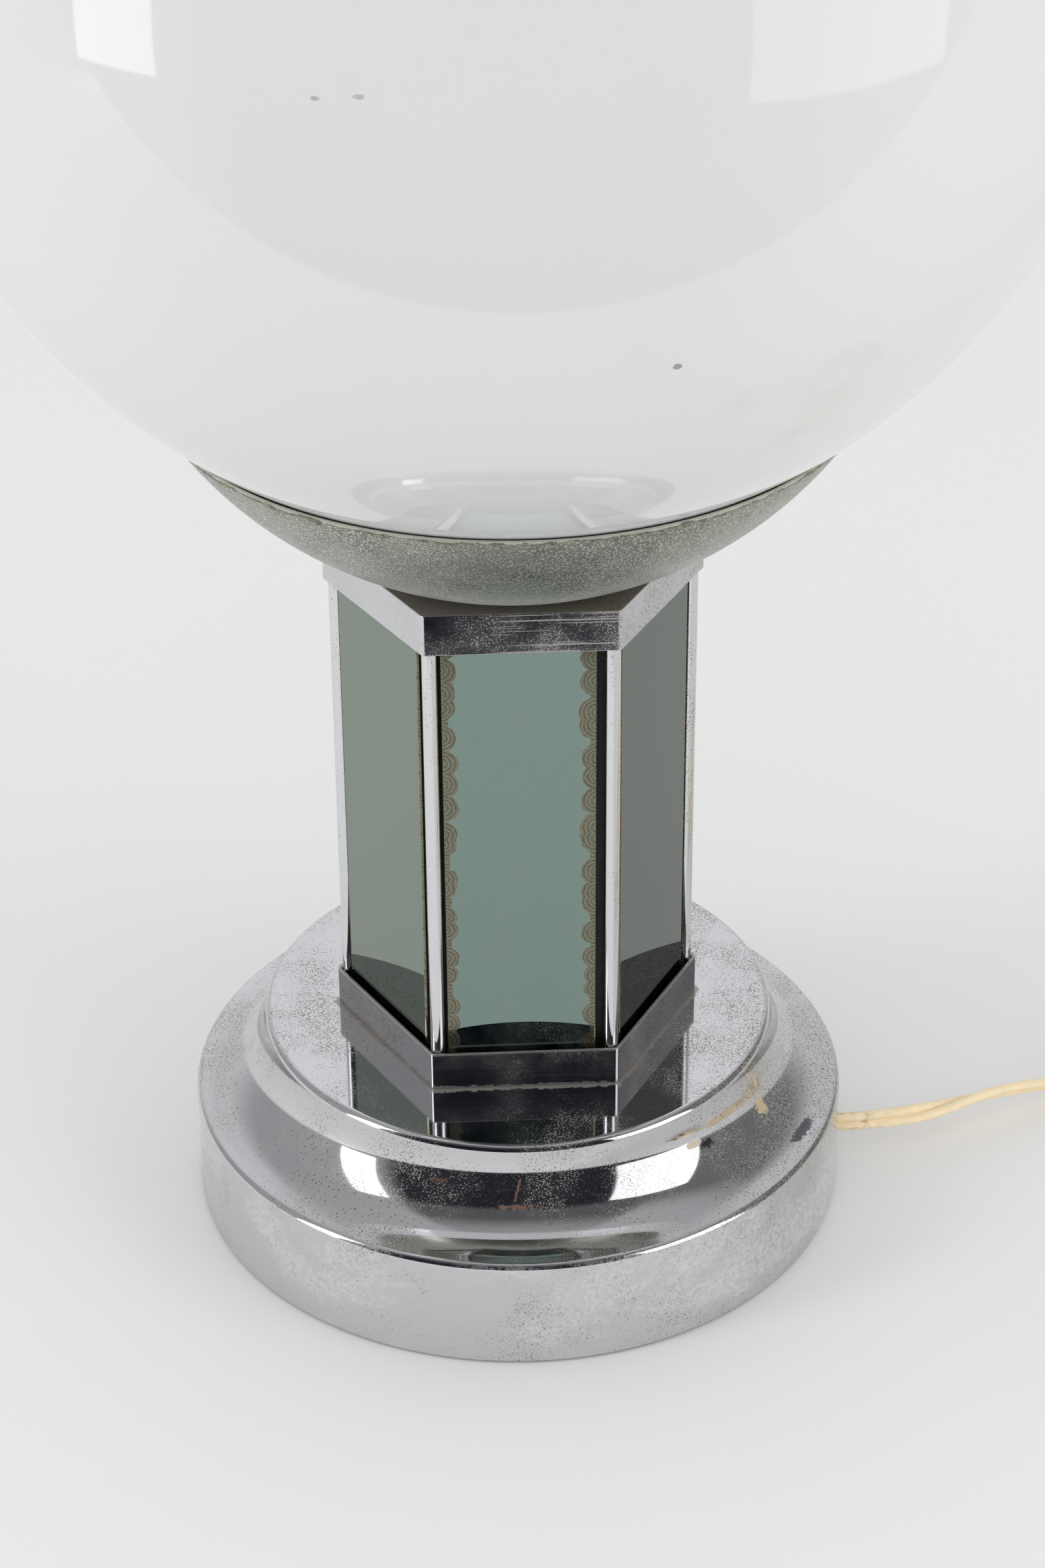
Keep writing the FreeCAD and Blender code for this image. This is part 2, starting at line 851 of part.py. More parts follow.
def tangent_tube(points, radius, name):
    """A round tube along straight runs joined by tangent arcs, as large as the runs allow."""
    spots = [Vector(*p) for p in points]
    edges, start, bends = [], spots[0], []
    for before, at, after in zip(spots, spots[1:], spots[2:]):
        run_in, run_out = at - before, after - at
        ways = run_in.normalize(), run_out.normalize()
        lengths = (at - before).Length, (after - at).Length
        half = math.acos(max(-1.0, min(1.0, ways[0].dot(ways[1])))) / 2
        reach = 0.45 * min(lengths)
        bends.append(reach / math.tan(half))
        first, last = at - ways[0] * reach, at + ways[1] * reach
        inward = (ways[1] - ways[0]).normalize()
        centre_away = bends[-1] / math.cos(half)
        middle = at + inward * (centre_away - bends[-1])
        edges.append(Part.LineSegment(start, first).toShape())
        edges.append(Part.Arc(first, middle, last).toShape())
        start = last
    edges.append(Part.LineSegment(start, spots[-1]).toShape())
    path = Part.Wire(edges)
    ring = Part.Wire(Part.Circle(spots[0], spots[1] - spots[0], radius).toShape())
    tube = path.makePipeShell([ring], True, False)
    share = tube.Volume / (math.pi * radius**2 * path.Length)
    print(f"{name}: length {path.Length:.1f}, volume share {share:.4f}, least bend "
          f"{min(bends):.1f}, bends {[round(b) for b in bends]}")
    return tube, path


def soft(label, shape):
    item = doc.addObject("Part::Feature", label + "_form")
    item.Shape = shape
    item.Placement = Placement()
    return keep(item, label)


def around(radius, height, side=0.0):
    """A point at a radius from the stem, in the cord's own vertical plane."""
    angle = math.radians(value("cord_azimuth"))
    return (
        radius * math.cos(angle) - side * math.sin(angle),
        radius * math.sin(angle) + side * math.cos(angle),
        height,
    )


def make_inner_cores():
    """The cord's two cores inside the base and up the stem to the lampholder."""
    low = "plate_top + core_width"
    run = [
        ("drill_start - close_gap", "cord_height"),
        ("drill_start - close_gap - cord_inside", "cord_height"),
        ("clamp_start + 7 / 6 * clamp_length", "cord_height - cord_drop"),
        ("clamp_start - clamp_length / 6", "cord_height - cord_drop"),
        ("2.25 * recess_radius", f"{low} + core_width / 3"),
        ("0.94 * recess_radius", f"{low} + core_width / 12"),
        ("0", low),
        ("0", f"{low} + core_rise"),
    ]
    side = value("core_width / 2 + close_gap / 2")
    for label, sign in (("inner_core_live", 1), ("inner_core_neutral", -1)):
        points = [around(value(r), value(z), sign * side) for r, z in run]
        tube, _ = tangent_tube(points, value("core_width") / 2, label)
        top = Vector(*points[-1])
        rise = value("insert_foot") - top.z
        riser = Part.makeCylinder(value("core_width") / 2, rise, top)
        soft(label, tube.fuse(riser).removeSplitter())


# Free cord from the bush to the switch, chosen by hand, after its start inside the bush.
LEAD_ROUTE = [
    (91.0, -5.5, 12.5),
    (99.5, -4.7, 12.2),
    (109.5, -2.4, 11.4),
    (118.5, 1.2, 10.4),
    (127.0, 6.0, 9.4),
    (135.5, 10.3, 8.6),
    (144.0, 13.7, 7.8),
    (153.6, 16.2, 7.1),
    (163.4, 18.7, 6.6),
    (173.0, 20.0, 6.4),
]
SWITCH_START = (182.0, 20.0)
COIL_TURNS = 7.1875
DROP_RUN = 20.0
COIL_SET_BACK = 30.0
LEAVE_RUN = 34.0


def biarc(edges, start, way_in, end, way_out):
    """Adds two arcs, tangent to each other, from one point and direction to another."""
    chord, ways = end - start, way_in + way_out
    spread = 2 * (1 - way_in.dot(way_out))
    along = chord.dot(ways)
    reach = chord.dot(chord) / (math.sqrt(along**2 + spread * chord.dot(chord)) + along)
    joint = (start + way_in * reach + end - way_out * reach) * 0.5
    for a, way, b in ((start, way_in, joint), (end, way_out * -1, joint)):
        run = b - a
        side = (run - way * run.dot(way)).normalize()
        radius = run.dot(run) / (2 * run.dot(side))
        centre = a + side * radius
        middle = centre + ((a + b) * 0.5 - centre).normalize() * radius
        pair = (a, middle, b) if a is start else (b, middle, a)
        edges.append(Part.Arc(*pair).toShape())


def coil_point(turns, centre):
    """A point of the coil's centre line after a count of turns from its outer start.

    The line goes clockwise, in at the pitch and out again, and climbs one layer in the
    half turn round the middle.
    """
    away = abs(turns - COIL_TURNS / 2)
    radius = value("coil_inner") + value("coil_pitch") * away
    share = min(max((turns - COIL_TURNS / 2) / 0.5 + 0.5, 0.0), 1.0)
    climb = (1 - math.cos(math.pi * share)) / 2
    angle = -2 * math.pi * turns
    height = value("coil_low") + value("coil_pitch") * climb
    return centre + Vector(radius * math.cos(angle), radius * math.sin(angle), height)


def least_gap(path, radius, apart=25.0):
    """The least gap of a tube to itself, measured on points of its centre line."""
    spots = path.discretize(Distance=2.0)
    step = path.Length / (len(spots) - 1)
    skip = int(apart / step)
    least = min(
        (p - q).Length for i, p in enumerate(spots) for q in spots[i + skip :]
    )
    return least - 2 * radius


def make_coil():
    """The rest of the cord, wound: from the switch, round in two layers, to the plug."""
    radius, bend = value("cord_radius"), value("coil_bend")
    outer = value("coil_inner") + value("coil_pitch") * COIL_TURNS / 2
    start = Vector(
        SWITCH_START[0] + value("switch_length - cord_seat"), SWITCH_START[1], value("switch_axis")
    )
    lead = start + Vector(value("cord_seat + cord_width"), 0, 0)
    low = lead + Vector(DROP_RUN, 0, value("coil_low") - start.z)
    centre = Vector(low.x + bend - outer, low.y - bend - COIL_SET_BACK, 0)
    steps = round(COIL_TURNS * 4)
    nodes = []
    for i in range(steps + 1):
        at, small = COIL_TURNS * i / steps, 1e-3
        before = coil_point(at - small, centre)
        after = coil_point(at + small, centre)
        nodes.append((coil_point(at, centre), (after - before).normalize()))
    edges = [Part.LineSegment(start, lead).toShape()]
    biarc(edges, lead, Vector(1, 0, 0), low, Vector(1, 0, 0))
    biarc(edges, low, Vector(1, 0, 0), *nodes[0])
    for (a, way_a), (b, way_b) in zip(nodes, nodes[1:]):
        biarc(edges, a, way_a, b, way_b)
    last, way = nodes[-1]
    leave = Vector(way.x, way.y, 0).normalize()
    to_plug = last + leave * LEAVE_RUN
    to_plug.z = value("plug_axis")
    biarc(edges, last, leave, to_plug, leave)
    end = to_plug + leave * value("cord_width + cord_seat")
    edges.append(Part.LineSegment(to_plug, end).toShape())
    path = Part.Wire(edges)
    ring = Part.Wire(Part.Circle(start, Vector(1, 0, 0), radius).toShape())
    tube = path.makePipeShell([ring], True, False)
    share = tube.Volume / (math.pi * radius**2 * path.Length)
    bends = [e.Curve.Radius for e in edges if isinstance(e.Curve, Part.Circle)]
    print(f"cord_coil: length {path.Length:.1f}, volume share {share:.4f}, least bend "
          f"{min(bends):.1f}, least gap {least_gap(path, radius):.2f}, centre {centre}")
    soft("cord_coil", tube)
    return end - leave * value("cord_seat"), leave, path.Length


def make_switch():
    """Inline rocker switch: two halves, rocker on its pivot, terminals and screws."""
    x0, y0 = SWITCH_START
    mid, top = "switch_axis", "switch_height"

    def half(name, foot, head, cavity_foot, cavity_head):
        outer = padded(
            name + "_outer",
            "XY_Plane",
            [
                ("0", "-switch_width / 2"),
                ("switch_length", "-switch_width / 2"),
                ("switch_length", "switch_width / 2"),
                ("0", "switch_width / 2"),
            ],
            f"{head} - {foot}",
        )

        def upright(edge):
            ends = [v.Point for v in edge.Vertexes]
            return abs(ends[0].x - ends[1].x) + abs(ends[0].y - ends[1].y) < 1e-6

        rounded(outer, name + "_corners", "switch_corner", upright)
        level = max(v.Point.z for v in outer.Tip.Shape.Vertexes) if head == top else 0.0

        def on_face(edge):
            return all(abs(v.Point.z - level) < 1e-6 for v in edge.Vertexes)

        rounded(outer, name + "_rim", "switch_wall - 0.2", on_face)
        put(outer, repr(x0), repr(y0), foot)
        inner = block(
            name + "_cavity",
            "switch_length - 2 * switch_wall - 2 * switch_end",
            "switch_width - 2 * switch_wall",
            f"({cavity_head}) - ({cavity_foot})",
            f"{x0} + switch_wall + switch_end",
            f"{y0} - switch_width / 2 + switch_wall",
            cavity_foot,
        )
        bore = cylinder(
            name + "_bore",
            "switch_hole",
            "switch_length + 2",
            f"{x0} - 1",
            repr(y0),
            "switch_axis",
            Vector(1, 0, 0),
        )
        return outer, inner, bore

    outer, inner, bore = half("switch_low", "0", mid, "switch_wall", f"{mid} + 1")
    screw_spots = [
        (f"{x0} + post_inset", f"{y0} + post_offset"),
        (f"{x0} + switch_length - post_inset", f"{y0} - post_offset"),
    ]
    head_foot, head_top = "loose_gap", "loose_gap + case_head_height"
    posts, heads, ways = [], [], []
    for x, y in screw_spots:
        posts.append(cylinder(
            "switch_post", "post_radius", f"{mid} - switch_wall / 2", x, y, "switch_wall / 2"))
        heads.append(cylinder(
            "switch_sink", "case_head_radius + 2 * close_gap", f"{head_top} + close_gap + 1", x, y,
            "-1"))
        ways.append(cylinder("switch_way", "case_screw_radius + 4 * close_gap", mid, x, y, "0"))
    trimmed = cut("switch_low_case", outer, inner, bore)
    keep(cut("switch_low_half", fused("switch_low_posts", trimmed, *posts), *heads, *ways),
         "switch_base")

    outer, inner, bore = half("switch_high", mid, top, f"{mid} - 1", f"{top} - switch_wall")
    x_mid = f"({x0} + switch_length / 2)"
    window = block(
        "switch_window",
        "2 * rocker_slot",
        "rocker_width + 2 * loose_gap",
        "3 * switch_wall",
        f"{x_mid} - rocker_slot",
        f"{y0} - rocker_width / 2 - loose_gap",
        f"{top} - 2 * switch_wall",
    )
    lugs = [
        block(
            f"switch_lug_{name}",
            "2 * lug_reach",
            "lug_width",
            "lug_reach + rocker_drop - switch_wall / 2",
            f"{x_mid} - lug_reach",
            f"{y0} + {start}",
            "pivot_height - lug_reach",
        )
        for name, start in (("near", "-lug_offset - lug_width"), ("far", "lug_offset"))
    ]
    sockets = [
        cylinder("switch_socket", "post_radius", f"{top} - switch_wall / 2 - {mid}", x, y, mid)
        for x, y in screw_spots
    ]
    pivot_hole = cylinder(
        "switch_pivot_hole",
        "pivot_radius + 1.5 * close_gap",
        "2 * (lug_offset + lug_width) + 2",
        x_mid,
        f"{y0} + lug_offset + lug_width + 1",
        "pivot_height",
        Vector(0, -1, 0),
    )
    screw_top = f"{head_top} - close_gap + case_screw_length"
    threads = [
        cylinder(
            "switch_thread",
            "case_screw_radius + close_gap",
            f"{screw_top} + 2 * close_gap - {mid} + 1",
            x,
            y,
            f"{mid} - 1",
        )
        for x, y in screw_spots
    ]
    trimmed = cut("switch_high_case", outer, inner, bore, window)
    keep(cut("switch_high_half", fused("switch_high_lugs", trimmed, *lugs, *sockets),
             pivot_hole, *threads), "switch_cover")

    screws = []
    for x, y in screw_spots:
        screws.append(cylinder(
            "switch_screw_head", "case_head_radius", "case_head_height", x, y, head_foot))
        screws.append(cylinder(
            "switch_screw_shank", "case_screw_radius", "case_screw_length", x, y,
            f"{head_top} - close_gap"))
    keep(fused("switch_screw_set", *screws), "switch_screws")

    blocks = []
    for a in ("block_inset", "switch_length - block_inset - block_length"):
        for b in ("block_offset", "-block_offset - block_width"):
            blocks.append(block("switch_terminal", "block_length", "block_width", "block_width",
                                f"{x0} + {a}", f"{y0} + {b}", "switch_wall"))
    keep(fused("switch_terminal_set", *blocks), "switch_terminals")

    reach, dip = "rocker_radius", "rocker_dip"
    lift = f"{dip} + {reach} * tan(rocker_tilt)"
    wedge = padded(
        "rocker_wedge",
        "XZ_Plane",
        [
            (f"-{reach}", "-rocker_depth"),
            (reach, "-rocker_depth"),
            (reach, lift),
            ("0", dip),
            (f"-{reach}", lift),
        ],
        "rocker_width",
        midplane=True,
    )
    drum = cylinder("rocker_drum", reach, "rocker_width", y="rocker_width / 2",
                    axis=Vector(0, -1, 0))
    axle = cylinder("rocker_axle", "pivot_radius", "2 * (lug_offset + lug_width)",
                    y="lug_offset + lug_width", axis=Vector(0, -1, 0))
    rocker = fused("rocker", common("rocker_form", wedge, drum), axle)
    rocker.Placement = Placement(Vector(), Rotation(Vector(0, 1, 0), value("rocker_tilt")))
    bind(rocker, Placement__Rotation__Angle="rocker_tilt")
    put(rocker, x_mid, repr(y0), "pivot_height")
    keep(rocker, "switch_rocker")


def make_plug(entry, heading):
    """Flat two-pin plug lying on the floor at the end of the cord."""
    plan = padded(
        "plug_plan",
        "XY_Plane",
        [
            ("0", "-plug_waist / 2"),
            ("plug_length / 2", "-plug_width / 2"),
            ("plug_length", "-plug_width / 2"),
            ("plug_length", "plug_width / 2"),
            ("plug_length / 2", "plug_width / 2"),
            ("0", "plug_waist / 2"),
        ],
        "plug_height",
        midplane=True,
    )
    section = padded(
        "plug_section",
        "YZ_Plane",
        [
            ("-plug_width / 2", "-plug_height / 4"),
            ("plug_corner - plug_width / 2", "-plug_height / 2"),
            ("plug_width / 2 - plug_corner", "-plug_height / 2"),
            ("plug_width / 2", "-plug_height / 4"),
            ("plug_width / 2", "plug_height / 4"),
            ("plug_width / 2 - plug_corner", "plug_height / 2"),
            ("plug_corner - plug_width / 2", "plug_height / 2"),
            ("-plug_width / 2", "plug_height / 4"),
        ],
        "plug_length",
    )
    tail = doc.addObject("Part::Cone", "plug_relief")
    tail.Placement = Placement(Vector(), Rotation(Vector(0, 0, 1), Vector(1, 0, 0)))
    bind(tail, Radius1="relief_radius", Radius2="plug_height / 2 - relief_step",
         Height="relief_length + 1")
    put(tail, "-relief_length")
    bore = cylinder("plug_bore", "cord_radius + close_gap", "cord_seat + 1",
                    "-relief_length - 1", axis=Vector(1, 0, 0))
    seats = []
    pins = []
    sleeves = []
    for side in ("pin_pitch / 2", "-pin_pitch / 2"):
        out = Vector(1, 0, 0)
        seats.append(cylinder("plug_pin_seat", "pin_radius", "pin_seat + 1",
                              "plug_length - pin_seat", side, axis=out))
        root = cylinder("plug_pin_root", "pin_radius", "pin_seat",
                        "plug_length - pin_seat", side, axis=out)
        neck = cylinder("plug_pin_neck", "pin_radius - sleeve_skin",
                        "sleeve_length + 2 * close_gap", "plug_length - close_gap", side,
                        axis=out)
        tip = cylinder("plug_pin_tip", "pin_radius", "pin_length - sleeve_length",
                       "plug_length + sleeve_length", side, axis=out)
        pins += [root, neck, tip]
        sleeves.append(cut(
            "pin_sleeve",
            cylinder("pin_sleeve_outer", "pin_radius", "sleeve_length", "plug_length", side,
                     axis=out),
            cylinder("pin_sleeve_inner", "pin_radius - sleeve_skin", "sleeve_length + 2",
                     "plug_length - 1", side, axis=out),
        ))
    body = cut("plug_case", fused("plug_solid", common("plug_form", plan, section), tail),
               bore, *seats)
    heading_angle = math.degrees(math.atan2(heading.y, heading.x))
    spot = entry + heading * value("relief_length")
    place = Placement(Vector(spot.x, spot.y, value("plug_axis")),
                      Rotation(Vector(0, 0, 1), heading_angle))
    for item, label in ((body, "plug_body"), (fused("plug_pin_pair", *pins), "plug_pins"),
                        (fused("plug_sleeve_pair", *sleeves), "plug_sleeves")):
        item.Placement = place
        bind(item, Placement__Base__z="plug_axis")
        keep(item, label)


def make_lead():
    """The free cord from the bush to the switch."""
    x, y = SWITCH_START
    route = [around(value("drill_start"), value("cord_height")), *LEAD_ROUTE]
    route.append((x + value("cord_seat"), y, value("switch_axis")))
    tube, path = tangent_tube(route, value("cord_radius"), "supply_cord")
    soft("supply_cord", tube)
    return path.Length


make_base()
make_stem()
make_column()
make_dish()
make_globe()
make_lampholder()
make_bulb()
make_inner_cores()
make_switch()
lead_length = make_lead()
plug_entry, plug_heading, coil_length = make_coil()
make_plug(plug_entry, plug_heading)
doc.recompute()
whole = lead_length + coil_length + value("switch_length - 2 * cord_seat")
print(f"cord from the bush to the plug: {whole:.0f} mm")

broken = [o.Name for o in doc.Objects if {"Invalid", "Error"} & set(o.State)]
if broken:
    raise RuntimeError(f"failed objects: {broken}")
for piece in SUBPARTS:
    if piece.Shape.isNull() or not piece.Shape.isValid():
        raise RuntimeError(f"{piece.Label} has no valid shape")
os.makedirs("parts", exist_ok=True)
for piece in SUBPARTS:
    piece.Shape.exportStep(os.path.join("parts", piece.Label + ".step"))
    box = piece.Shape.BoundBox
    print(f"{piece.Label}: {len(piece.Shape.Solids)} solid, {piece.Shape.Volume:.0f} mm3, "
          f"z {box.ZMin:.2f} to {box.ZMax:.2f}")
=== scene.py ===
import logging
from dataclasses import dataclass, field
from enum import Enum
from functools import partialmethod
from math import acos, asin, atan2, cos, pi, radians, sin, sqrt, tan

import bmesh
import bpy
from mathutils import Matrix, Vector


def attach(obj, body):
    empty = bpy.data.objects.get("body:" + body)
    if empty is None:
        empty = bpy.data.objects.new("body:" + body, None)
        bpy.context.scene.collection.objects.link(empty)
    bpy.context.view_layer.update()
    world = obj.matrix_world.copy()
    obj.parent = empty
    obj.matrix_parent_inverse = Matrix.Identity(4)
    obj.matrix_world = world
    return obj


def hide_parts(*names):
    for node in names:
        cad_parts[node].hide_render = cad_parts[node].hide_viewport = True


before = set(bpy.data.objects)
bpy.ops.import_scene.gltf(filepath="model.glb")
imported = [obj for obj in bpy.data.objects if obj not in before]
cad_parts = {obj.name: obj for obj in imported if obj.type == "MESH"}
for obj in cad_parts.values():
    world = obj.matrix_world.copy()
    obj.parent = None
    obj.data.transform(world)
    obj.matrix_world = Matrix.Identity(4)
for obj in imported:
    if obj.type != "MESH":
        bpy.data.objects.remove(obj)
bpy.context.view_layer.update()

LOG = logging.getLogger("lamp")
MM = 0.001
SIDES = 6
SIDE_TURN = 360 // SIDES  # in degrees
NEAR, LEVEL, TOUCHING = 1e-5, 1e-6, 1e-7  # in metres
CRUMBS = 900.0  # how many lie in a metre of a blot's ragged edge

Point = tuple[float, float, float]
Colour = tuple[float, float, float]
Profile = list[tuple[float, float]]


class Body(Enum):
    """The bodies that the modelled pieces ride on."""

    LAMP = "lamp"
    GLOBE = "globe"
    ROCKER = "rocker"


class Lip(Enum):
    """The way in which a pan's lip points."""

    UP = 1
    DOWN = -1


class Silver(Enum):
    """The tints that the mirrors show."""

    PLAIN = (0.207, 0.288, 0.259)
    OLIVE = (0.205, 0.255, 0.208)
    DUSK = (0.122, 0.149, 0.125)


class Signal:
    """A number in a material, whose arithmetic adds Math nodes.

    Above gives 1 where the number is greater than a limit, and most the greater of two.
    """

    def __init__(self, recipe: "Recipe", socket: bpy.types.NodeSocket) -> None:
        """Wraps an output socket of a recipe's tree."""
        self.recipe = recipe
        self.socket = socket

    def _math(self, operation: str, *others: "Signal | float") -> "Signal":
        """Adds a Math node of that operation on this and the others."""
        node = self.recipe.add("ShaderNodeMath", {"operation": operation}, self, *others)
        return Signal(self.recipe, node.outputs[0])

    __add__ = __radd__ = partialmethod(_math, "ADD")
    __sub__ = partialmethod(_math, "SUBTRACT")
    __mul__ = __rmul__ = partialmethod(_math, "MULTIPLY")
    __truediv__ = partialmethod(_math, "DIVIDE")
    __pow__ = partialmethod(_math, "POWER")
    above = partialmethod(_math, "GREATER_THAN")
    absolute = partialmethod(_math, "ABSOLUTE")
    most = partialmethod(_math, "MAXIMUM")
    sine = partialmethod(_math, "SINE")

    def __rsub__(self, other: float) -> "Signal":
        """The difference from a number."""
        node = self.recipe.add("ShaderNodeMath", {"operation": "SUBTRACT"}, other, self)
        return Signal(self.recipe, node.outputs[0])

    def step(self, low: float, high: float) -> "Signal":
        """Turns the value into a mask with a smooth rise.

        Args:
            low: The value at which the mask is 0.
            high: The value at which it is 1, which may lie below low.

        Returns:
            The mask, from 0 to 1.
        """
        node = self.recipe.add("ShaderNodeMapRange", {"interpolation_type": "SMOOTHSTEP"},
                               self, low, high, 0.0, 1.0)
        return Signal(self.recipe, node.outputs[0])


class Recipe:
    """A material being mixed: its node tree and the short cuts to fill it."""

    def __init__(self, tree: bpy.types.NodeTree) -> None:
        """Starts on an emptied tree."""
        self.tree = tree
        tree.nodes.clear()

    def feed(self, socket: bpy.types.NodeSocket, value: object) -> None:
        """Links or sets one input.

        Args:
            socket: The input socket.
            value: A signal, an output socket, a number, a vector or a colour.
        """
        if isinstance(value, Signal):
            value = value.socket
        if isinstance(value, bpy.types.NodeSocket):
            self.tree.links.new(value, socket)
        else:
            socket.default_value = (*value, 1.0) if socket.type == "RGBA" else value

    def add(self, kind: str, settings: dict | None = None, *values: object,
            **named: object) -> bpy.types.Node:
        """Adds a node.

        Args:
            kind: The node's type.
            settings: Its own settings, set first.
            values: The values or links of its first input sockets.
            named: The values or links of its input sockets by name.

        Returns:
            The node.
        """
        node = self.tree.nodes.new(kind)
        for name, setting in (settings or {}).items():
            setattr(node, name, setting)
        for socket, value in zip(node.inputs, values):
            self.feed(socket, value)
        for name, value in named.items():
            self.feed(node.inputs[name.replace("_", " ")], value)
        return node

    def place(self, stretch: Point = (1.0, 1.0, 1.0)) -> bpy.types.NodeSocket:
        """The place on the piece, in metres, stretched along its axes."""
        where = self.add("ShaderNodeTexCoord").outputs["Object"]
        return self.add("ShaderNodeMapping", None, where, Scale=stretch).outputs[0]

    def parts(self, vector: bpy.types.NodeSocket) -> list[Signal]:
        """The three parts of a vector."""
        node = self.add("ShaderNodeSeparateXYZ", None, vector)
        return [Signal(self, socket) for socket in node.outputs]

    def facing_up(self) -> Signal:
        """1 on level upper faces and 0 on the rest."""
        normal = self.add("ShaderNodeNewGeometry").outputs["Normal"]
        return self.parts(normal)[2].step(0.9, 0.97)

    def noise(self, scale: float, detail: float = 4.0, rough: float = 0.55,
              where: bpy.types.NodeSocket | None = None, warp: float = 0.0) -> Signal:
        """Makes soft random patches.

        Args:
            scale: How many patches lie in a metre.
            detail: How many times finer patches are laid over them.
            rough: How strong the finer ones are.
            where: The place, or none for the place on the piece.
            warp: How far the patches are twisted.

        Returns:
            Values from 0 to 1, most of them near 0.5.
        """
        node = self.add("ShaderNodeTexNoise", None, where or self.place(), Scale=scale,
                        Detail=detail, Roughness=rough, Distortion=warp)
        return Signal(self, node.outputs[0])

    def cells(self, scale: float, where: bpy.types.NodeSocket | None = None) -> Signal:
        """The distance to the nearest random point; the scale is in points per metre."""
        node = self.add("ShaderNodeTexVoronoi", None, where or self.place(), Scale=scale)
        return Signal(self, node.outputs["Distance"])

    def blot(self, blot: "Blot") -> Signal:
        """Masks a ragged blot.

        Args:
            blot: The blot.

        Returns:
            1 inside the blot and 0 outside it.
        """
        inside = self.add("ShaderNodeMapping", {"vector_type": "TEXTURE"}, self.place(),
                          Location=blot.centre, Rotation=blot.turn, Scale=blot.reach)
        length = self.add("ShaderNodeVectorMath", {"operation": "LENGTH"}, inside.outputs[0])
        ragged = (self.noise(CRUMBS, 5.0, 0.7) - 0.5) * blot.ragged
        return (Signal(self, length.outputs["Value"]) + ragged).step(1.1, 0.8)

    def blend(self, amount: Signal | float, first: object, second: object
              ) -> bpy.types.NodeSocket:
        """Blends two colours.

        Args:
            amount: 0 for the first and 1 for the second.
            first: A colour, or the output socket of one.
            second: The same.

        Returns:
            The output socket of the blend.
        """
        node = self.add("ShaderNodeMix", {"data_type": "RGBA"})
        factor, colour_a, colour_b = node.inputs[0], node.inputs[6], node.inputs[7]
        for socket, value in ((factor, amount), (colour_a, first), (colour_b, second)):
            self.feed(socket, value)
        return node.outputs[2]

    def relief(self, height: Signal, depth: float) -> bpy.types.NodeSocket:
        """A normal bumped by a height in units of the depth, in metres."""
        bump = self.add("ShaderNodeBump", None, Distance=depth, Strength=1.0, Height=height)
        return bump.outputs[0]

    def finish(self, **inputs: object) -> None:
        """Ends the recipe in a Principled shader with those inputs."""
        shader = self.add("ShaderNodeBsdfPrincipled", None, **inputs)
        self.add("ShaderNodeOutputMaterial", None, shader.outputs[0])


def recipe_for(name: str) -> tuple[bpy.types.Material, Recipe]:
    """Starts a material.

    Args:
        name: Its name.

    Returns:
        The material and its recipe.
    """
    material = bpy.data.materials.new(name)
    material.use_nodes = True
    return material, Recipe(material.node_tree)


def light_of(*levels: int) -> Colour:
    """Turns a display colour into a linear one, by the sRGB curve.

    Args:
        levels: Its red, green and blue from 0 to 255.

    Returns:
        The linear colour.
    """
    toe, slope, lift, power = 0.04045, 12.92, 0.055, 2.4
    shares = [level / 255 for level in levels]
    return tuple(share / slope if share <= toe else ((share + lift) / (1 + lift)) ** power
                 for share in shares)


@dataclass(frozen=True)
class Blot:
    """A spot: its centre and half widths in metres, its colour, its turn in radians, how
    ragged its edge is and how much bare metal is in it."""

    centre: Point
    reach: Point
    colour: Colour = (0.0, 0.0, 0.0)
    turn: Point = (0.0, 0.0, 0.0)
    ragged: float = 1.5
    metallic: float = 0.0


@dataclass(frozen=True)
class Finish:
    """A finish of the lamp, by its name; each kind of finish is mixed in its own way."""

    name: str

    def fill(self, mix: Recipe) -> None:
        """Mixes the finish, which each kind of finish does."""
        raise NotImplementedError

    def material(self) -> bpy.types.Material:
        """Makes the finish's material.

        Returns:
            The material.
        """
        made, mix = recipe_for(self.name)
        self.fill(mix)
        return made


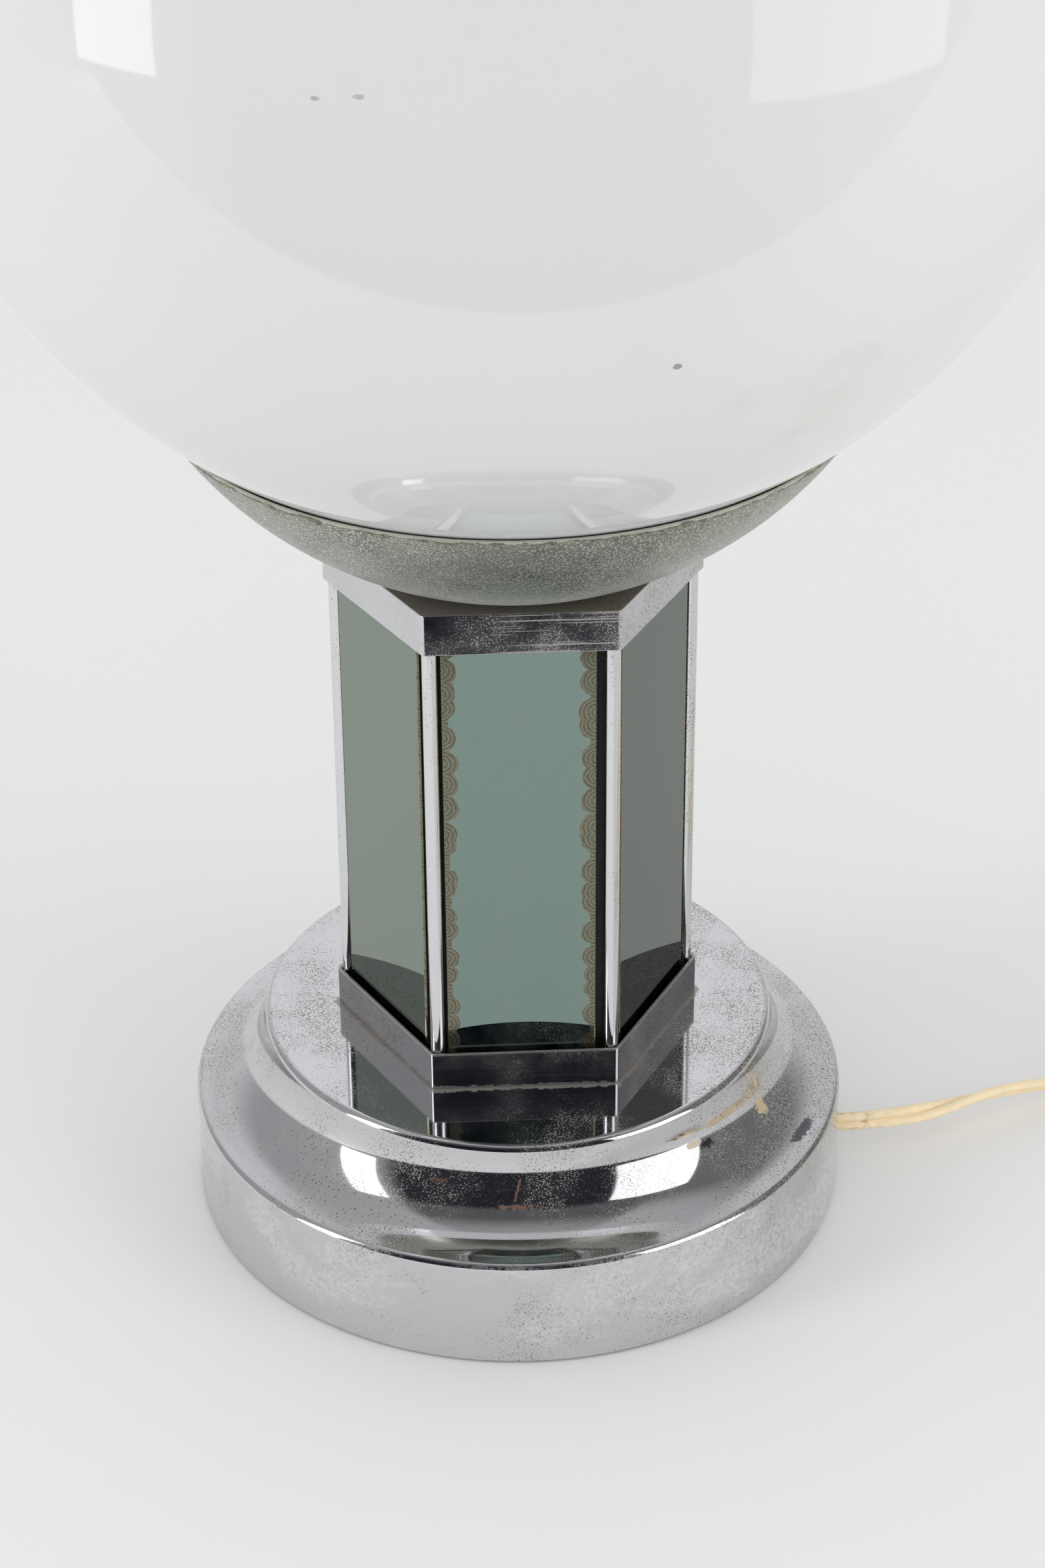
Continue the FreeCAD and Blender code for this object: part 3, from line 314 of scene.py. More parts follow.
@dataclass(frozen=True)
class AgedChrome(Finish):
    """Chrome plate gone hazy and pitted, with soil and dust.

    Fields from pits to scratches give how much of each fault there is, from 0 to 1. Sides says how
    much denser the pits lie to the lamp's left and right, and lean how much denser per metre the
    pits and haze lie to the right; that lean darkens the right side and is painted shade. Streak
    stretches the patches along the axes, and hexagon is the half width across the flats of a
    hexagonal foot that soil has gathered round, or 0. Below the height milky_below the plate has
    pale patches. Crowded names the places where pits lie close, and blots the spots of other
    colours. Per_metre says how many fine specks, coarse specks and holes lie in a metre, rim_reach
    how far the soil starts under the hexagon's foot and what chance adds to it, polish how rough
    the sound plate is, and waves how uneven. Lengths are in metres.
    """

    tint: Colour = (0.655, 0.66, 0.675)
    pits: float = 0.5
    mist: float = 0.3
    soil: float = 0.2
    top_dust: float = 0.0
    scratches: float = 0.0
    sides: float = 0.0
    lean_of_pits_and_shade: float = 0.0
    streak: Point = (1.0, 1.0, 1.0)
    hexagon: float = 0.0
    milky_below: float = 0.0
    crowded: tuple[Blot, ...] = ()
    blots: tuple[Blot, ...] = ()
    per_metre: tuple[float, float, float] = (1900.0, 1250.0, 800.0)
    speck_tint: Colour = (0.285, 0.267, 0.235)
    hole_tint: Colour = (0.14, 0.128, 0.105)
    soil_tint: Colour = light_of(120, 106, 86)
    milk_tint: Colour = (0.8, 0.805, 0.82)
    rim_reach: tuple[float, float] = (1.6 * MM, 4.2 * MM)
    polish: float = 0.045
    waves: float = 0.04 * MM

    def rim_of_soil(self, mix: Recipe) -> Signal:
        """Masks the soil in a thin ragged line round the foot of the hexagon.

        Args:
            mix: The plate's recipe.

        Returns:
            1 on the soil and 0 off it.
        """
        x, y, _ = mix.parts(mix.place())
        away = y.absolute()
        for turn in (SIDE_TURN, 2 * SIDE_TURN):
            along = x * sin(radians(turn)) + y * cos(radians(turn))
            away = away.most(along.absolute())
        under, more = self.rim_reach
        ragged = mix.noise(420.0, 5.0, 0.7) * more
        return (away - (self.hexagon - under) - ragged).step(0.0009, 0.0002)

    def crowding(self, mix: Recipe) -> Signal:
        """Says how densely the pits lie, in broad and middling patches.

        Args:
            mix: The plate's recipe.

        Returns:
            The density, from 0 to 1.
        """
        here = mix.place(self.streak)
        broad = mix.noise(12.0, 3.0, 0.5, here, 0.4)
        middle = mix.noise(75.0, 3.0, 0.6, here)
        x, y, _ = mix.parts(mix.place())
        # The lean crowds pits and haze to the right, which darkens that side: painted shade.
        crowd = (broad - 0.5) * 1.6 + (middle - 0.5) * 1.3 + x * self.lean_of_pits_and_shade
        if self.sides:
            behind = y.step(-0.07, -0.01)
            crowd = crowd + x.absolute().step(0.02, 0.06) * behind * self.sides
        for place in self.crowded:
            crowd = crowd + mix.blot(place) * 0.2
        return crowd.step(-0.3, 0.5)

    def scored(self, mix: Recipe) -> Signal:
        """Masks the level scratches in the right part of the front flat.

        Args:
            mix: The plate's recipe.

        Returns:
            1 on a scratch and 0 off it.
        """
        lines = mix.noise(1.0, 2.0, 0.5, mix.place((26.0, 26.0, 1500.0)))
        x, y, _ = mix.parts(mix.place())
        return lines.step(0.55, 0.6) * (y.step(-0.0415, -0.0425) * x.step(-0.012, 0.004))

    def milk(self, mix: Recipe) -> Signal:
        """Masks the pale patches low on the plate.

        Args:
            mix: The plate's recipe.

        Returns:
            How pale the plate is, from 0.
        """
        height = mix.parts(mix.place())[2]
        pale = mix.noise(18.0, 4.0, 0.65, mix.place((1.0, 1.0, 2.2)), 0.5).step(0.46, 0.6)
        pale = pale * mix.noise(700.0, 3.0, 0.7).step(0.36, 0.6)
        return pale * height.step(self.milky_below + MM, self.milky_below) * 0.35

    def fill(self, mix: Recipe) -> None:
        """Mixes the finish.

        Args:
            mix: The material's recipe.
        """
        crowd = self.crowding(mix)
        reach = crowd * (0.14 + 0.5 * self.pits) + 0.08
        fine_scale, coarse_scale, hole_scale = self.per_metre
        fine = (reach - mix.cells(fine_scale)).step(0.0, 0.1)
        specks = fine.most((reach - 0.12 - mix.cells(coarse_scale)).step(0.0, 0.08))
        holes = (crowd * 0.13 + 0.1 - mix.cells(hole_scale)).step(0.0, 0.06)
        bare = 1.05 - 0.4 * self.soil
        soil = (mix.noise(120.0, 6.0, 0.75) + crowd * 0.3).step(bare, bare + 0.2)
        if self.hexagon:
            soil = soil.most(self.rim_of_soil(mix) * 0.8)
        if self.top_dust:
            soil = soil.most(mix.facing_up() * (crowd * 0.25 + self.top_dust))
        if self.scratches:
            specks = specks.most(self.scored(mix) * self.scratches)
        lines = mix.noise(1.0, 3.0, 0.6, mix.place((26.0, 26.0, 1100.0))).step(0.4, 0.8)
        veil = (lines * 0.2 + crowd * 0.8) * (0.35 * self.mist)
        colour = mix.blend(veil.most(specks * 0.85), self.tint, self.speck_tint)
        colour = mix.blend(soil * 0.75, colour, self.soil_tint)
        colour = mix.blend(holes * 0.8, colour, self.hole_tint)
        cover = (veil * 0.8).most(specks * 0.8).most(soil * 0.7)
        if self.milky_below:
            pale = self.milk(mix)
            colour = mix.blend(pale, colour, self.milk_tint)
            cover = cover.most(pale * 0.8)
        for blot in self.blots:
            mask = mix.blot(blot)
            colour = mix.blend(mask * 0.85, colour, blot.colour)
            cover = cover.most(mask * (1 - blot.metallic))
        rough = self.polish + veil * 0.5 + cover * 0.35
        normal = mix.relief(mix.noise(24.0, 1.0, 0.5), self.waves)
        mix.finish(Base_Color=colour, Metallic=1.0 - cover, Roughness=rough, Normal=normal)


@dataclass(frozen=True)
class DullDishChrome(Finish):
    """Chrome gone matt and grey-green, speckled, with verdigris along the rim.

    The rim's height, the depth of the band of verdigris and that of the pale line on the lip, which
    is a painted highlight, are in metres. Dull and verdigris hold two tints each, which lie in
    patches.
    """

    rim_height: float
    band: float = 2.2 * MM
    lip: float = 0.7 * MM
    light_speck: Colour = light_of(220, 219, 210)
    dark_speck: Colour = light_of(92, 94, 82)
    # The pale tint of the line on the lip: a painted highlight.
    lip_highlight: Colour = light_of(206, 204, 192)
    dull: tuple[Colour, Colour] = (light_of(160, 160, 151), light_of(132, 134, 125))
    verdigris: tuple[Colour, Colour] = (light_of(74, 86, 56), light_of(140, 142, 118))

    def fill(self, mix: Recipe) -> None:
        """Mixes the finish.

        Args:
            mix: The material's recipe.
        """
        height = mix.parts(mix.place())[2]
        cloud = mix.noise(45.0, 5.0, 0.65)
        drawn = mix.place((1.0, 1.0, 0.55))
        crowd = cloud * 0.3 + mix.noise(300.0, 4.0, 0.6) * 0.25
        light = (crowd + 0.17 - mix.cells(1700.0, drawn)).step(0.0, 0.14)
        dark = (0.62 - crowd - mix.cells(1500.0, drawn)).step(0.0, 0.12)
        colour = mix.blend(cloud.step(0.4, 0.6), *self.dull)
        colour = mix.blend(light * 0.85, colour, self.light_speck)
        colour = mix.blend(dark * 0.6, colour, self.dark_speck)
        edge = (height - (self.rim_height - self.band)) / self.band
        ragged = (edge + (mix.noise(260.0, 5.0, 0.7) - 0.5) * 3.2).step(0.2, 0.6)
        green = mix.blend(mix.noise(500.0, 3.0).step(0.45, 0.6), *self.verdigris)
        colour = mix.blend(ragged * 0.8, colour, green)
        # A broken pale line along the lip: a painted highlight on the bead, which also lightens the
        # shade between the dish and the globe.
        broken = mix.noise(150.0, 4.0, 0.65) - 0.5
        lip = ((height - (self.rim_height - self.lip)) * 3000.0 + broken * 6.0).step(0.3, 0.9)
        colour = mix.blend(lip * 0.7, colour, self.lip_highlight)
        mix.finish(Base_Color=colour, Metallic=0.8 - ragged * 0.6, Roughness=0.33 + ragged * 0.3,
                   Normal=mix.relief(light - dark, 0.03 * MM))


@dataclass(frozen=True)
class WornMirror(Finish):
    """Grey-green back-silvered glass whose silver has gone brown in scallops at its edges.

    The piece's UV map holds the distance across from the panel's middle and the height,
    in metres. Wear goes from 0 to 1, and nuclei says from how many places in a metre of an
    edge the scallops spread. Scallop holds their least reach and what chance adds to it,
    and border is the width of the worn strip between them, in metres at full wear.
    """

    half_width: float
    wear: float
    silver: Silver
    nuclei: float = 148.0
    scallop: tuple[float, float] = (2.1 * MM, 3.6 * MM)
    border: float = 1.7 * MM
    browns: tuple[Colour, Colour] = (light_of(128, 123, 102), light_of(78, 79, 60))
    rim_brown: Colour = light_of(126, 108, 80)
    film_tint: Colour = light_of(128, 124, 108)

    def fill(self, mix: Recipe) -> None:
        """Mixes the finish.

        Args:
            mix: The material's recipe.
        """
        spot = mix.add("ShaderNodeUVMap", {"uv_map": "panel"}).outputs[0]
        across, up, _ = mix.parts(spot)
        inward = self.half_width - across.absolute()
        side = across.above(0.0) * 0.31  # so that the two edges differ
        wobble = mix.noise(560.0, 5.0, 0.7) - 0.5
        spread = mix.noise(40.0, 1.0, 0.5)
        nearest = mix.add("ShaderNodeTexVoronoi", {"voronoi_dimensions": "1D"},
                          W=up + side, Scale=self.nuclei, Randomness=0.7)
        along = Signal(mix, nearest.outputs["Distance"]) / self.nuclei
        away = (along * along + inward * inward) ** 0.5
        ragged = mix.noise(330.0, 4.0, 0.65) - 0.5
        least, more = self.scallop
        lobes = (spread * more + least) * self.wear - away
        strip = self.border * self.wear - inward
        inside = lobes.most(strip) + ragged * 0.0014 + wobble * 0.0008
        worn = (inside * 7000.0).step(-0.3, 0.7)
        rim = (inside * 2600.0).step(1.0, 0.3)
        rings = ((away + wobble * 0.0013) * 6000.0).sine()
        lace = (mix.noise(1300.0, 4.0, 0.75) + rings * 0.17).step(0.42, 0.64)
        tint = self.silver.value
        silver = mix.blend(mix.noise(14.0, 2.0), tint, tuple(level * 1.06 for level in tint))
        brown = mix.blend(lace * 0.9, *self.browns)
        brown = mix.blend(rim * 0.5, brown, self.rim_brown)
        drawn = mix.place((1.0, 1.0, 0.4))
        film = (mix.noise(160.0, 5.0, 0.7, drawn) + spread * 0.4).step(0.5, 1.1)
        colour = mix.blend(worn * 0.92, silver, brown)
        colour = mix.blend(film * self.wear * 0.12, colour, self.film_tint)
        mix.finish(Base_Color=colour, Metallic=1.0 - worn * 0.12 - film * self.wear * 0.1,
                   Roughness=0.012 + worn * 0.12, Coat_Weight=0.4, Coat_Roughness=0.01)


@dataclass(frozen=True)
class OpalGlass(Finish):
    """White opal glass, in two tints that lie in patches, with three small marks."""

    name: str = "opal_globe"
    milk: tuple[Colour, Colour] = ((0.70, 0.708, 0.722), (0.725, 0.732, 0.745))
    marks: tuple[Blot, ...] = (
        Blot((-0.045, -0.143, 0.374), (0.0010, 0.0010, 0.0005), (0.42, 0.42, 0.42), ragged=1.2),
        Blot((-0.036, -0.145, 0.375), (0.0013, 0.0013, 0.0006), (0.45, 0.45, 0.45), ragged=1.6),
        Blot((0.029, -0.136, 0.310), (0.0011, 0.0011, 0.0009), (0.25, 0.25, 0.25), ragged=0.4),
    )

    def fill(self, mix: Recipe) -> None:
        """Mixes the finish.

        Args:
            mix: The material's recipe.
        """
        clouds = mix.noise(9.0, 3.0, 0.5)
        colour = mix.blend(clouds, *self.milk)
        for mark in self.marks:
            colour = mix.blend(mix.blot(mark) * 0.85, colour, mark.colour)
        mix.finish(Base_Color=colour, Roughness=0.04 + clouds * 0.02, IOR=1.5)


@dataclass(frozen=True)
class CordSheath(Finish):
    """Ivory flexible plastic in two tints, grimy up to a distance from the lamp's axis."""

    name: str = "cord_sheath"
    tint: Colour = light_of(252, 232, 194)
    shade: Colour = light_of(226, 204, 160)
    grime: Colour = light_of(150, 128, 92)
    grimy_to: float = 91.0 * MM
    fading: float = 20.0 * MM

    def fill(self, mix: Recipe) -> None:
        """Mixes the finish.

        Args:
            mix: The material's recipe.
        """
        out = mix.parts(mix.place())[0]
        near = out.step(self.grimy_to + self.fading, self.grimy_to)
        patches = mix.noise(240.0, 4.0, 0.65)
        colour = mix.blend(patches.step(0.35, 0.75) * 0.3, self.tint, self.shade)
        colour = mix.blend(near * patches.step(0.42, 0.62) * 0.6, colour, self.grime)
        mix.finish(Base_Color=colour, Roughness=0.34 + patches * 0.16,
                   Normal=mix.relief(mix.noise(900.0, 2.0), 0.02 * MM))


@dataclass(frozen=True)
class Moulding(Finish):
    """Moulded plastic or glazed ware in two close tints; the grain's depth is in metres."""

    tint: Colour
    shade: Colour
    rough: float
    grain: float = 0.02 * MM

    def fill(self, mix: Recipe) -> None:
        """Mixes the finish.

        Args:
            mix: The material's recipe.
        """
        patches = mix.noise(130.0, 4.0, 0.6)
        colour = mix.blend(patches.step(0.3, 0.75), self.tint, self.shade)
        mix.finish(Base_Color=colour, Roughness=self.rough + patches * 0.12,
                   Normal=mix.relief(mix.noise(1600.0, 3.0), self.grain))


@dataclass(frozen=True)
class PlainMetal(Finish):
    """Turned, rolled, cast or lacquered metal; the grain's depth is in metres."""

    tint: Colour
    shade: Colour
    rough: float = 0.3
    metallic: float = 1.0
    grain: float = 0.03 * MM

    def fill(self, mix: Recipe) -> None:
        """Mixes the finish.

        Args:
            mix: The material's recipe.
        """
        brushed = mix.noise(700.0, 5.0, 0.65)
        stains = mix.noise(110.0, 4.0, 0.6).step(0.45, 0.75)
        colour = mix.blend(stains, self.tint, self.shade)
        mix.finish(Base_Color=colour, Metallic=self.metallic,
                   Roughness=self.rough + brushed * 0.15 + stains * 0.12,
                   Normal=mix.relief(brushed, self.grain))


@dataclass(frozen=True)
class WoolFelt(Finish):
    """Pressed green felt, in two tints; the fibres' depth is in metres."""

    name: str = "green_felt"
    wools: tuple[Colour, Colour] = (light_of(38, 62, 44), light_of(64, 88, 66))
    pile: float = 0.25 * MM

    def fill(self, mix: Recipe) -> None:
        """Mixes the finish.

        Args:
            mix: The material's recipe.
        """
        fibres = mix.noise(1800.0, 6.0, 0.8, mix.place((1.0, 1.0, 3.0)))
        mix.finish(Base_Color=mix.blend(fibres.step(0.3, 0.7), *self.wools), Roughness=0.95,
                   Sheen_Weight=0.3, Normal=mix.relief(fibres, self.pile))


@dataclass(frozen=True)
class FrostedGlass(Finish):
    """The bulb's envelope, white inside."""

    name: str = "bulb_envelope"
    whites: tuple[Colour, Colour] = ((0.84, 0.84, 0.82), (0.9, 0.9, 0.88))

    def fill(self, mix: Recipe) -> None:
        """Mixes the finish.

        Args:
            mix: The material's recipe.
        """
        powder = mix.noise(60.0, 4.0, 0.6)
        mix.finish(Base_Color=mix.blend(powder, *self.whites), Roughness=0.25 + powder * 0.1,
                   IOR=1.5, Transmission_Weight=0.25)


class Stock(Enum):
    """The finishes of the cord, of the small pieces and of those inside."""

    STEEL = PlainMetal("zinc_steel", (0.55, 0.55, 0.53), (0.42, 0.41, 0.38))
    IRON = PlainMetal("cast_iron", (0.08, 0.08, 0.08), (0.05, 0.045, 0.04), 0.6, 0.7, 0.3 * MM)
    LACQUER = PlainMetal("black_lacquer", (0.02, 0.02, 0.02), (0.03, 0.03, 0.03), 0.45, 0.0)
    BRASS = PlainMetal("brass", (0.62, 0.46, 0.2), (0.45, 0.32, 0.14))
    CAP_METAL = PlainMetal("bulb_cap_metal", (0.72, 0.72, 0.71), (0.6, 0.6, 0.58), 0.25)
    NICKEL = PlainMetal("nickel_pins", (0.66, 0.62, 0.55), (0.55, 0.5, 0.42))
    BUSH = Moulding("bush_plastic", (0.03, 0.03, 0.03), (0.045, 0.045, 0.045), 0.5)
    PHENOLIC = Moulding("phenolic", (0.025, 0.022, 0.02), (0.04, 0.034, 0.03), 0.25)
    PORCELAIN = Moulding("porcelain", (0.78, 0.77, 0.73), (0.7, 0.69, 0.66), 0.2)
    IVORY = Moulding("ivory_plastic", light_of(236, 222, 188), light_of(226, 210, 172), 0.28)
    ROCKER = Moulding("rocker_plastic", light_of(228, 210, 170), light_of(214, 194, 152), 0.25)
    FELT = WoolFelt()
    ENVELOPE = FrostedGlass()
    CORD = CordSheath()


AMBER, BEIGE = light_of(186, 166, 122), light_of(196, 186, 160)
RUST, SLATE = light_of(146, 94, 64), (0.05, 0.06, 0.08)
BASE_CROWDS = (
    Blot((-0.031, -0.066, 0.043), (0.030, 0.016, 0.012), ragged=1.0),
    Blot((-0.060, -0.052, 0.038), (0.020, 0.020, 0.010)),
    Blot((-0.046, -0.030, 0.056), (0.012, 0.026, 0.004)),
)
BASE_BLOTS = (
    Blot((0.0630, -0.0325, 0.0470), (0.0006, 0.0012, 0.0050), AMBER, (0.3, 0.0, 0.0), 2.0),
    Blot((0.0643, -0.0358, 0.0420), (0.0028, 0.0022, 0.0028), AMBER, ragged=3.0),
    Blot((0.0760, -0.0367, 0.0337), (0.0014, 0.0072, 0.0030), SLATE, (0.0, 0.0, -0.5), 2.5, 1.0),
    Blot((0.0480, -0.0543, 0.0438), (0.0036, 0.0020, 0.0012), SLATE, ragged=3.0, metallic=1.0),
    Blot((0.0440, -0.0566, 0.0452), (0.0040, 0.0020, 0.0010), BEIGE),
    Blot((-0.0036, -0.0722, 0.0442), (0.0003, 0.0026, 0.0036), RUST, (0.0, 0.3, 0.0), 4.0, 0.55),
    Blot((-0.0038, -0.0746, 0.0404), (0.0046, 0.0014, 0.0005), RUST, ragged=6.0, metallic=0.55),
    Blot((-0.0240, -0.0674, 0.0450), (0.0026, 0.0020, 0.0005), RUST, ragged=6.0, metallic=0.75),
)
NODES_OF_STOCK = {
    Stock.FELT: "felt_pad",
    Stock.LACQUER: "base_plate column_core",
    Stock.IRON: "ballast",
    Stock.STEEL: "base_screws base_spacer stem_tube lower_washer lower_nut dish_washer"
                 " dish_nut switch_screws",
    Stock.BUSH: "cord_bush cord_clamp plug_sleeves",
    Stock.PHENOLIC: "lampholder_cap lampholder_skirt bulb_insulator",
    Stock.PORCELAIN: "lampholder_insert",
    Stock.BRASS: "lampholder_thread lampholder_contact lampholder_terminals switch_terminals",
    Stock.NICKEL: "bulb_contact plug_pins",
    Stock.CAP_METAL: "bulb_cap",
    Stock.ENVELOPE: "bulb_glass",
    Stock.CORD: "inner_core_live inner_core_neutral",
}


@dataclass
class Finishes:
    """The finishes that several pieces share, mixed once."""

    base: bpy.types.Material = field(init=False)
    cap: bpy.types.Material = field(init=False)
    tray: bpy.types.Material = field(init=False)
    rod: bpy.types.Material = field(init=False)
    stock: dict[Stock, bpy.types.Material] = field(init=False)

    def __post_init__(self) -> None:
        """Mixes them."""
        # Each lean crowds pits to the right, and so paints shade on that side of the base and of
        # the cap.
        self.base = AgedChrome("base_chrome", pits=0.44, mist=0.16, sides=0.36, lean_of_pits_and_shade=0.4,
                               hexagon=42.95 * MM, milky_below=31.8 * MM,
                               crowded=BASE_CROWDS, blots=BASE_BLOTS).material()
        self.cap = AgedChrome("cap_chrome", pits=0.5, mist=0.4, soil=0.25, lean_of_pits_and_shade=5.0, top_dust=0.75,
                              scratches=0.9).material()
        self.tray = AgedChrome("tray_chrome", (0.6, 0.6, 0.61), pits=0.34, mist=0.5, soil=0.2,
                               top_dust=0.75).material()
        self.rod = AgedChrome("rod_chrome", (0.75, 0.755, 0.77), pits=0.42, mist=0.1, soil=0.15,
                              streak=(6.0, 6.0, 1.0)).material()
        self.stock = {stock: stock.value.material() for stock in Stock}


def new_object(name: str, data: bpy.types.ID) -> bpy.types.Object:
    """Makes an object and puts it in the scene.

    Args:
        name: Its name.
        data: Its mesh, curve, light or camera.

    Returns:
        The object.
    """
    made = bpy.data.objects.new(name, data)
    bpy.context.scene.collection.objects.link(made)
    return made


def mesh_of(name: str, shape: bmesh.types.BMesh) -> bpy.types.Mesh:
    """Turns a finished bmesh into a mesh.

    Args:
        name: The mesh's name.
        shape: The bmesh, which is freed.

    Returns:
        The mesh.
    """
    data = bpy.data.meshes.new(name)
    shape.to_mesh(data)
    shape.free()
    return data


def new_piece(name: str, shape: bmesh.types.BMesh, material: bpy.types.Material, body: Body,
              sharp: float = 35.0) -> bpy.types.Object:
    """Makes a piece of the lamp from a finished bmesh.

    Args:
        name: The piece's name.
        shape: Its shape, in metres in the lamp's frame; it is freed.
        material: Its finish.
        body: The body that it rides on.
        sharp: The angle in degrees past which an edge is shown sharp.

    Returns:
        The piece's object.
    """
    data = mesh_of(name, shape)
    data.shade_smooth()
    data.set_sharp_from_angle(angle=radians(sharp))
    data.materials.append(material)
    piece = new_object(name, data)
    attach(piece, body.value)
    LOG.info("%s: %d faces", name, len(data.polygons))
    return piece


def arc(centre: tuple[float, float], radius: float, start: float, end: float, steps: int
        ) -> Profile:
    """Points of an arc in a profile, from one angle to another in radians."""
    turns = [start + (end - start) * i / steps for i in range(steps + 1)]
    return [(centre[0] + radius * cos(a), centre[1] + radius * sin(a)) for a in turns]


def rounded(corners: list[Point], steps: int, support: float = 0.1 * MM) -> Profile:
    """Rounds a profile's corners.

    Args:
        corners: Each corner's radius from the axis, height and rounding radius.
        steps: Segments in each rounding.
        support: How far outside a rounding a point holds the straight run's direction.

    Returns:
        The profile's points.
    """
    line: Profile = []
    for i, (r, z, rounding) in enumerate(corners):
        at = Vector((r, z))
        if rounding <= 0 or i in (0, len(corners) - 1):
            line.append((r, z))
            continue
        before = (Vector(corners[i - 1][:2]) - at).normalized()
        after = (Vector(corners[i + 1][:2]) - at).normalized()
        half = before.angle(after) / 2
        reach = rounding / tan(half)
        centre = at + (before + after).normalized() * (rounding / sin(half))
        first, last = at + before * reach, at + after * reach
        line.append(tuple(first + before * support))
        start, end = first - centre, last - centre
        swing = atan2(start.x * end.y - start.y * end.x, start.dot(end))
        angle = atan2(start.y, start.x)
        line += arc(tuple(centre), rounding, angle, angle + swing, steps)
        line.append(tuple(last + after * support))
    return line


def lathe(profile: Profile, steps: int = 256, closed: bool = True) -> bmesh.types.BMesh:
    """Spins a profile about the vertical axis.

    Args:
        profile: Its points, by their radius and height.
        steps: Segments round the axis.
        closed: Whether the profile's last point is joined to its first.

    Returns:
        The spun shape.
    """
    shape = bmesh.new()
    spots = [shape.verts.new((r, 0.0, z)) for r, z in profile]
    edges = [shape.edges.new(pair) for pair in zip(spots, spots[1:])]
    if closed:
        edges.append(shape.edges.new((spots[-1], spots[0])))
    bmesh.ops.spin(shape, geom=spots + edges, cent=(0, 0, 0), axis=(0, 0, 1),
                   angle=2 * pi, steps=steps, use_merge=True, use_duplicate=False)
    bmesh.ops.remove_doubles(shape, verts=shape.verts, dist=TOUCHING)
    bmesh.ops.recalc_face_normals(shape, faces=shape.faces)
    return shape


def lift_faces(shape: bmesh.types.BMesh, faces: list[bmesh.types.BMFace], rise: float
               ) -> list[bmesh.types.BMFace]:
    """Extrudes faces up or down.

    Args:
        shape: The shape that they are part of.
        faces: The faces.
        rise: How far they go up, in metres.

    Returns:
        The faces at their new height.
    """
    made = bmesh.ops.extrude_face_region(shape, geom=faces)["geom"]
    spots = [item for item in made if isinstance(item, bmesh.types.BMVert)]
    bmesh.ops.translate(shape, verts=spots, vec=(0, 0, rise))
    return [item for item in made if isinstance(item, bmesh.types.BMFace)]


def round_edges(shape: bmesh.types.BMesh, edges: list[bmesh.types.BMEdge], width: float,
                segments: int) -> None:
    """Rounds edges of a shape to a width in metres."""
    bmesh.ops.bevel(shape, geom=edges, offset=width, segments=segments, affect="EDGES",
                    profile=0.5, material=-1)


@dataclass
class SpunBase:
    """The stepped round base: wall, shoulder, cove and flat disc, as one spun sheet."""

    finishes: Finishes
    radius: float = 90.0 * MM
    lift: float = 1.0 * MM
    sheet: float = 1.0 * MM
    shoulder: float = 32.5 * MM
    slope: float = radians(12.0)
    shoulder_round: float = 2.0 * MM
    cove_round: float = 21.0 * MM
    disc_radius: float = 70.0 * MM
    disc_height: float = 56.2 * MM
    disc_roll: float = 2.0 * MM
    stem_hole: float = 5.1 * MM

    def build(self) -> None:
        """Makes the shell."""
        step = self.shoulder + (self.radius - self.disc_radius) * tan(self.slope)
        drop = self.sheet / cos(self.slope) - self.sheet * tan(self.slope)
        inner_wall, inner_disc = self.radius - self.sheet, self.disc_radius - self.sheet
        under = self.disc_height - self.sheet
        outside = rounded([
            (self.radius, self.lift, 0.0),
            (self.radius, self.shoulder, self.shoulder_round),
            (self.disc_radius, step, self.cove_round),
            (self.disc_radius, self.disc_height, self.disc_roll),
            (self.stem_hole, self.disc_height, 0.0),
        ], steps=20)
        inside = rounded([
            (self.stem_hole, under, 0.0),
            (inner_disc, under, self.disc_roll - self.sheet),
            (inner_disc, step - drop, self.cove_round + self.sheet),
            (inner_wall, self.shoulder - drop, self.shoulder_round - self.sheet),
            (inner_wall, self.lift, 0.0),
        ], steps=8)
        piece = new_piece("base", lathe(outside + inside), self.finishes.base, Body.LAMP)
        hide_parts("base_shell")


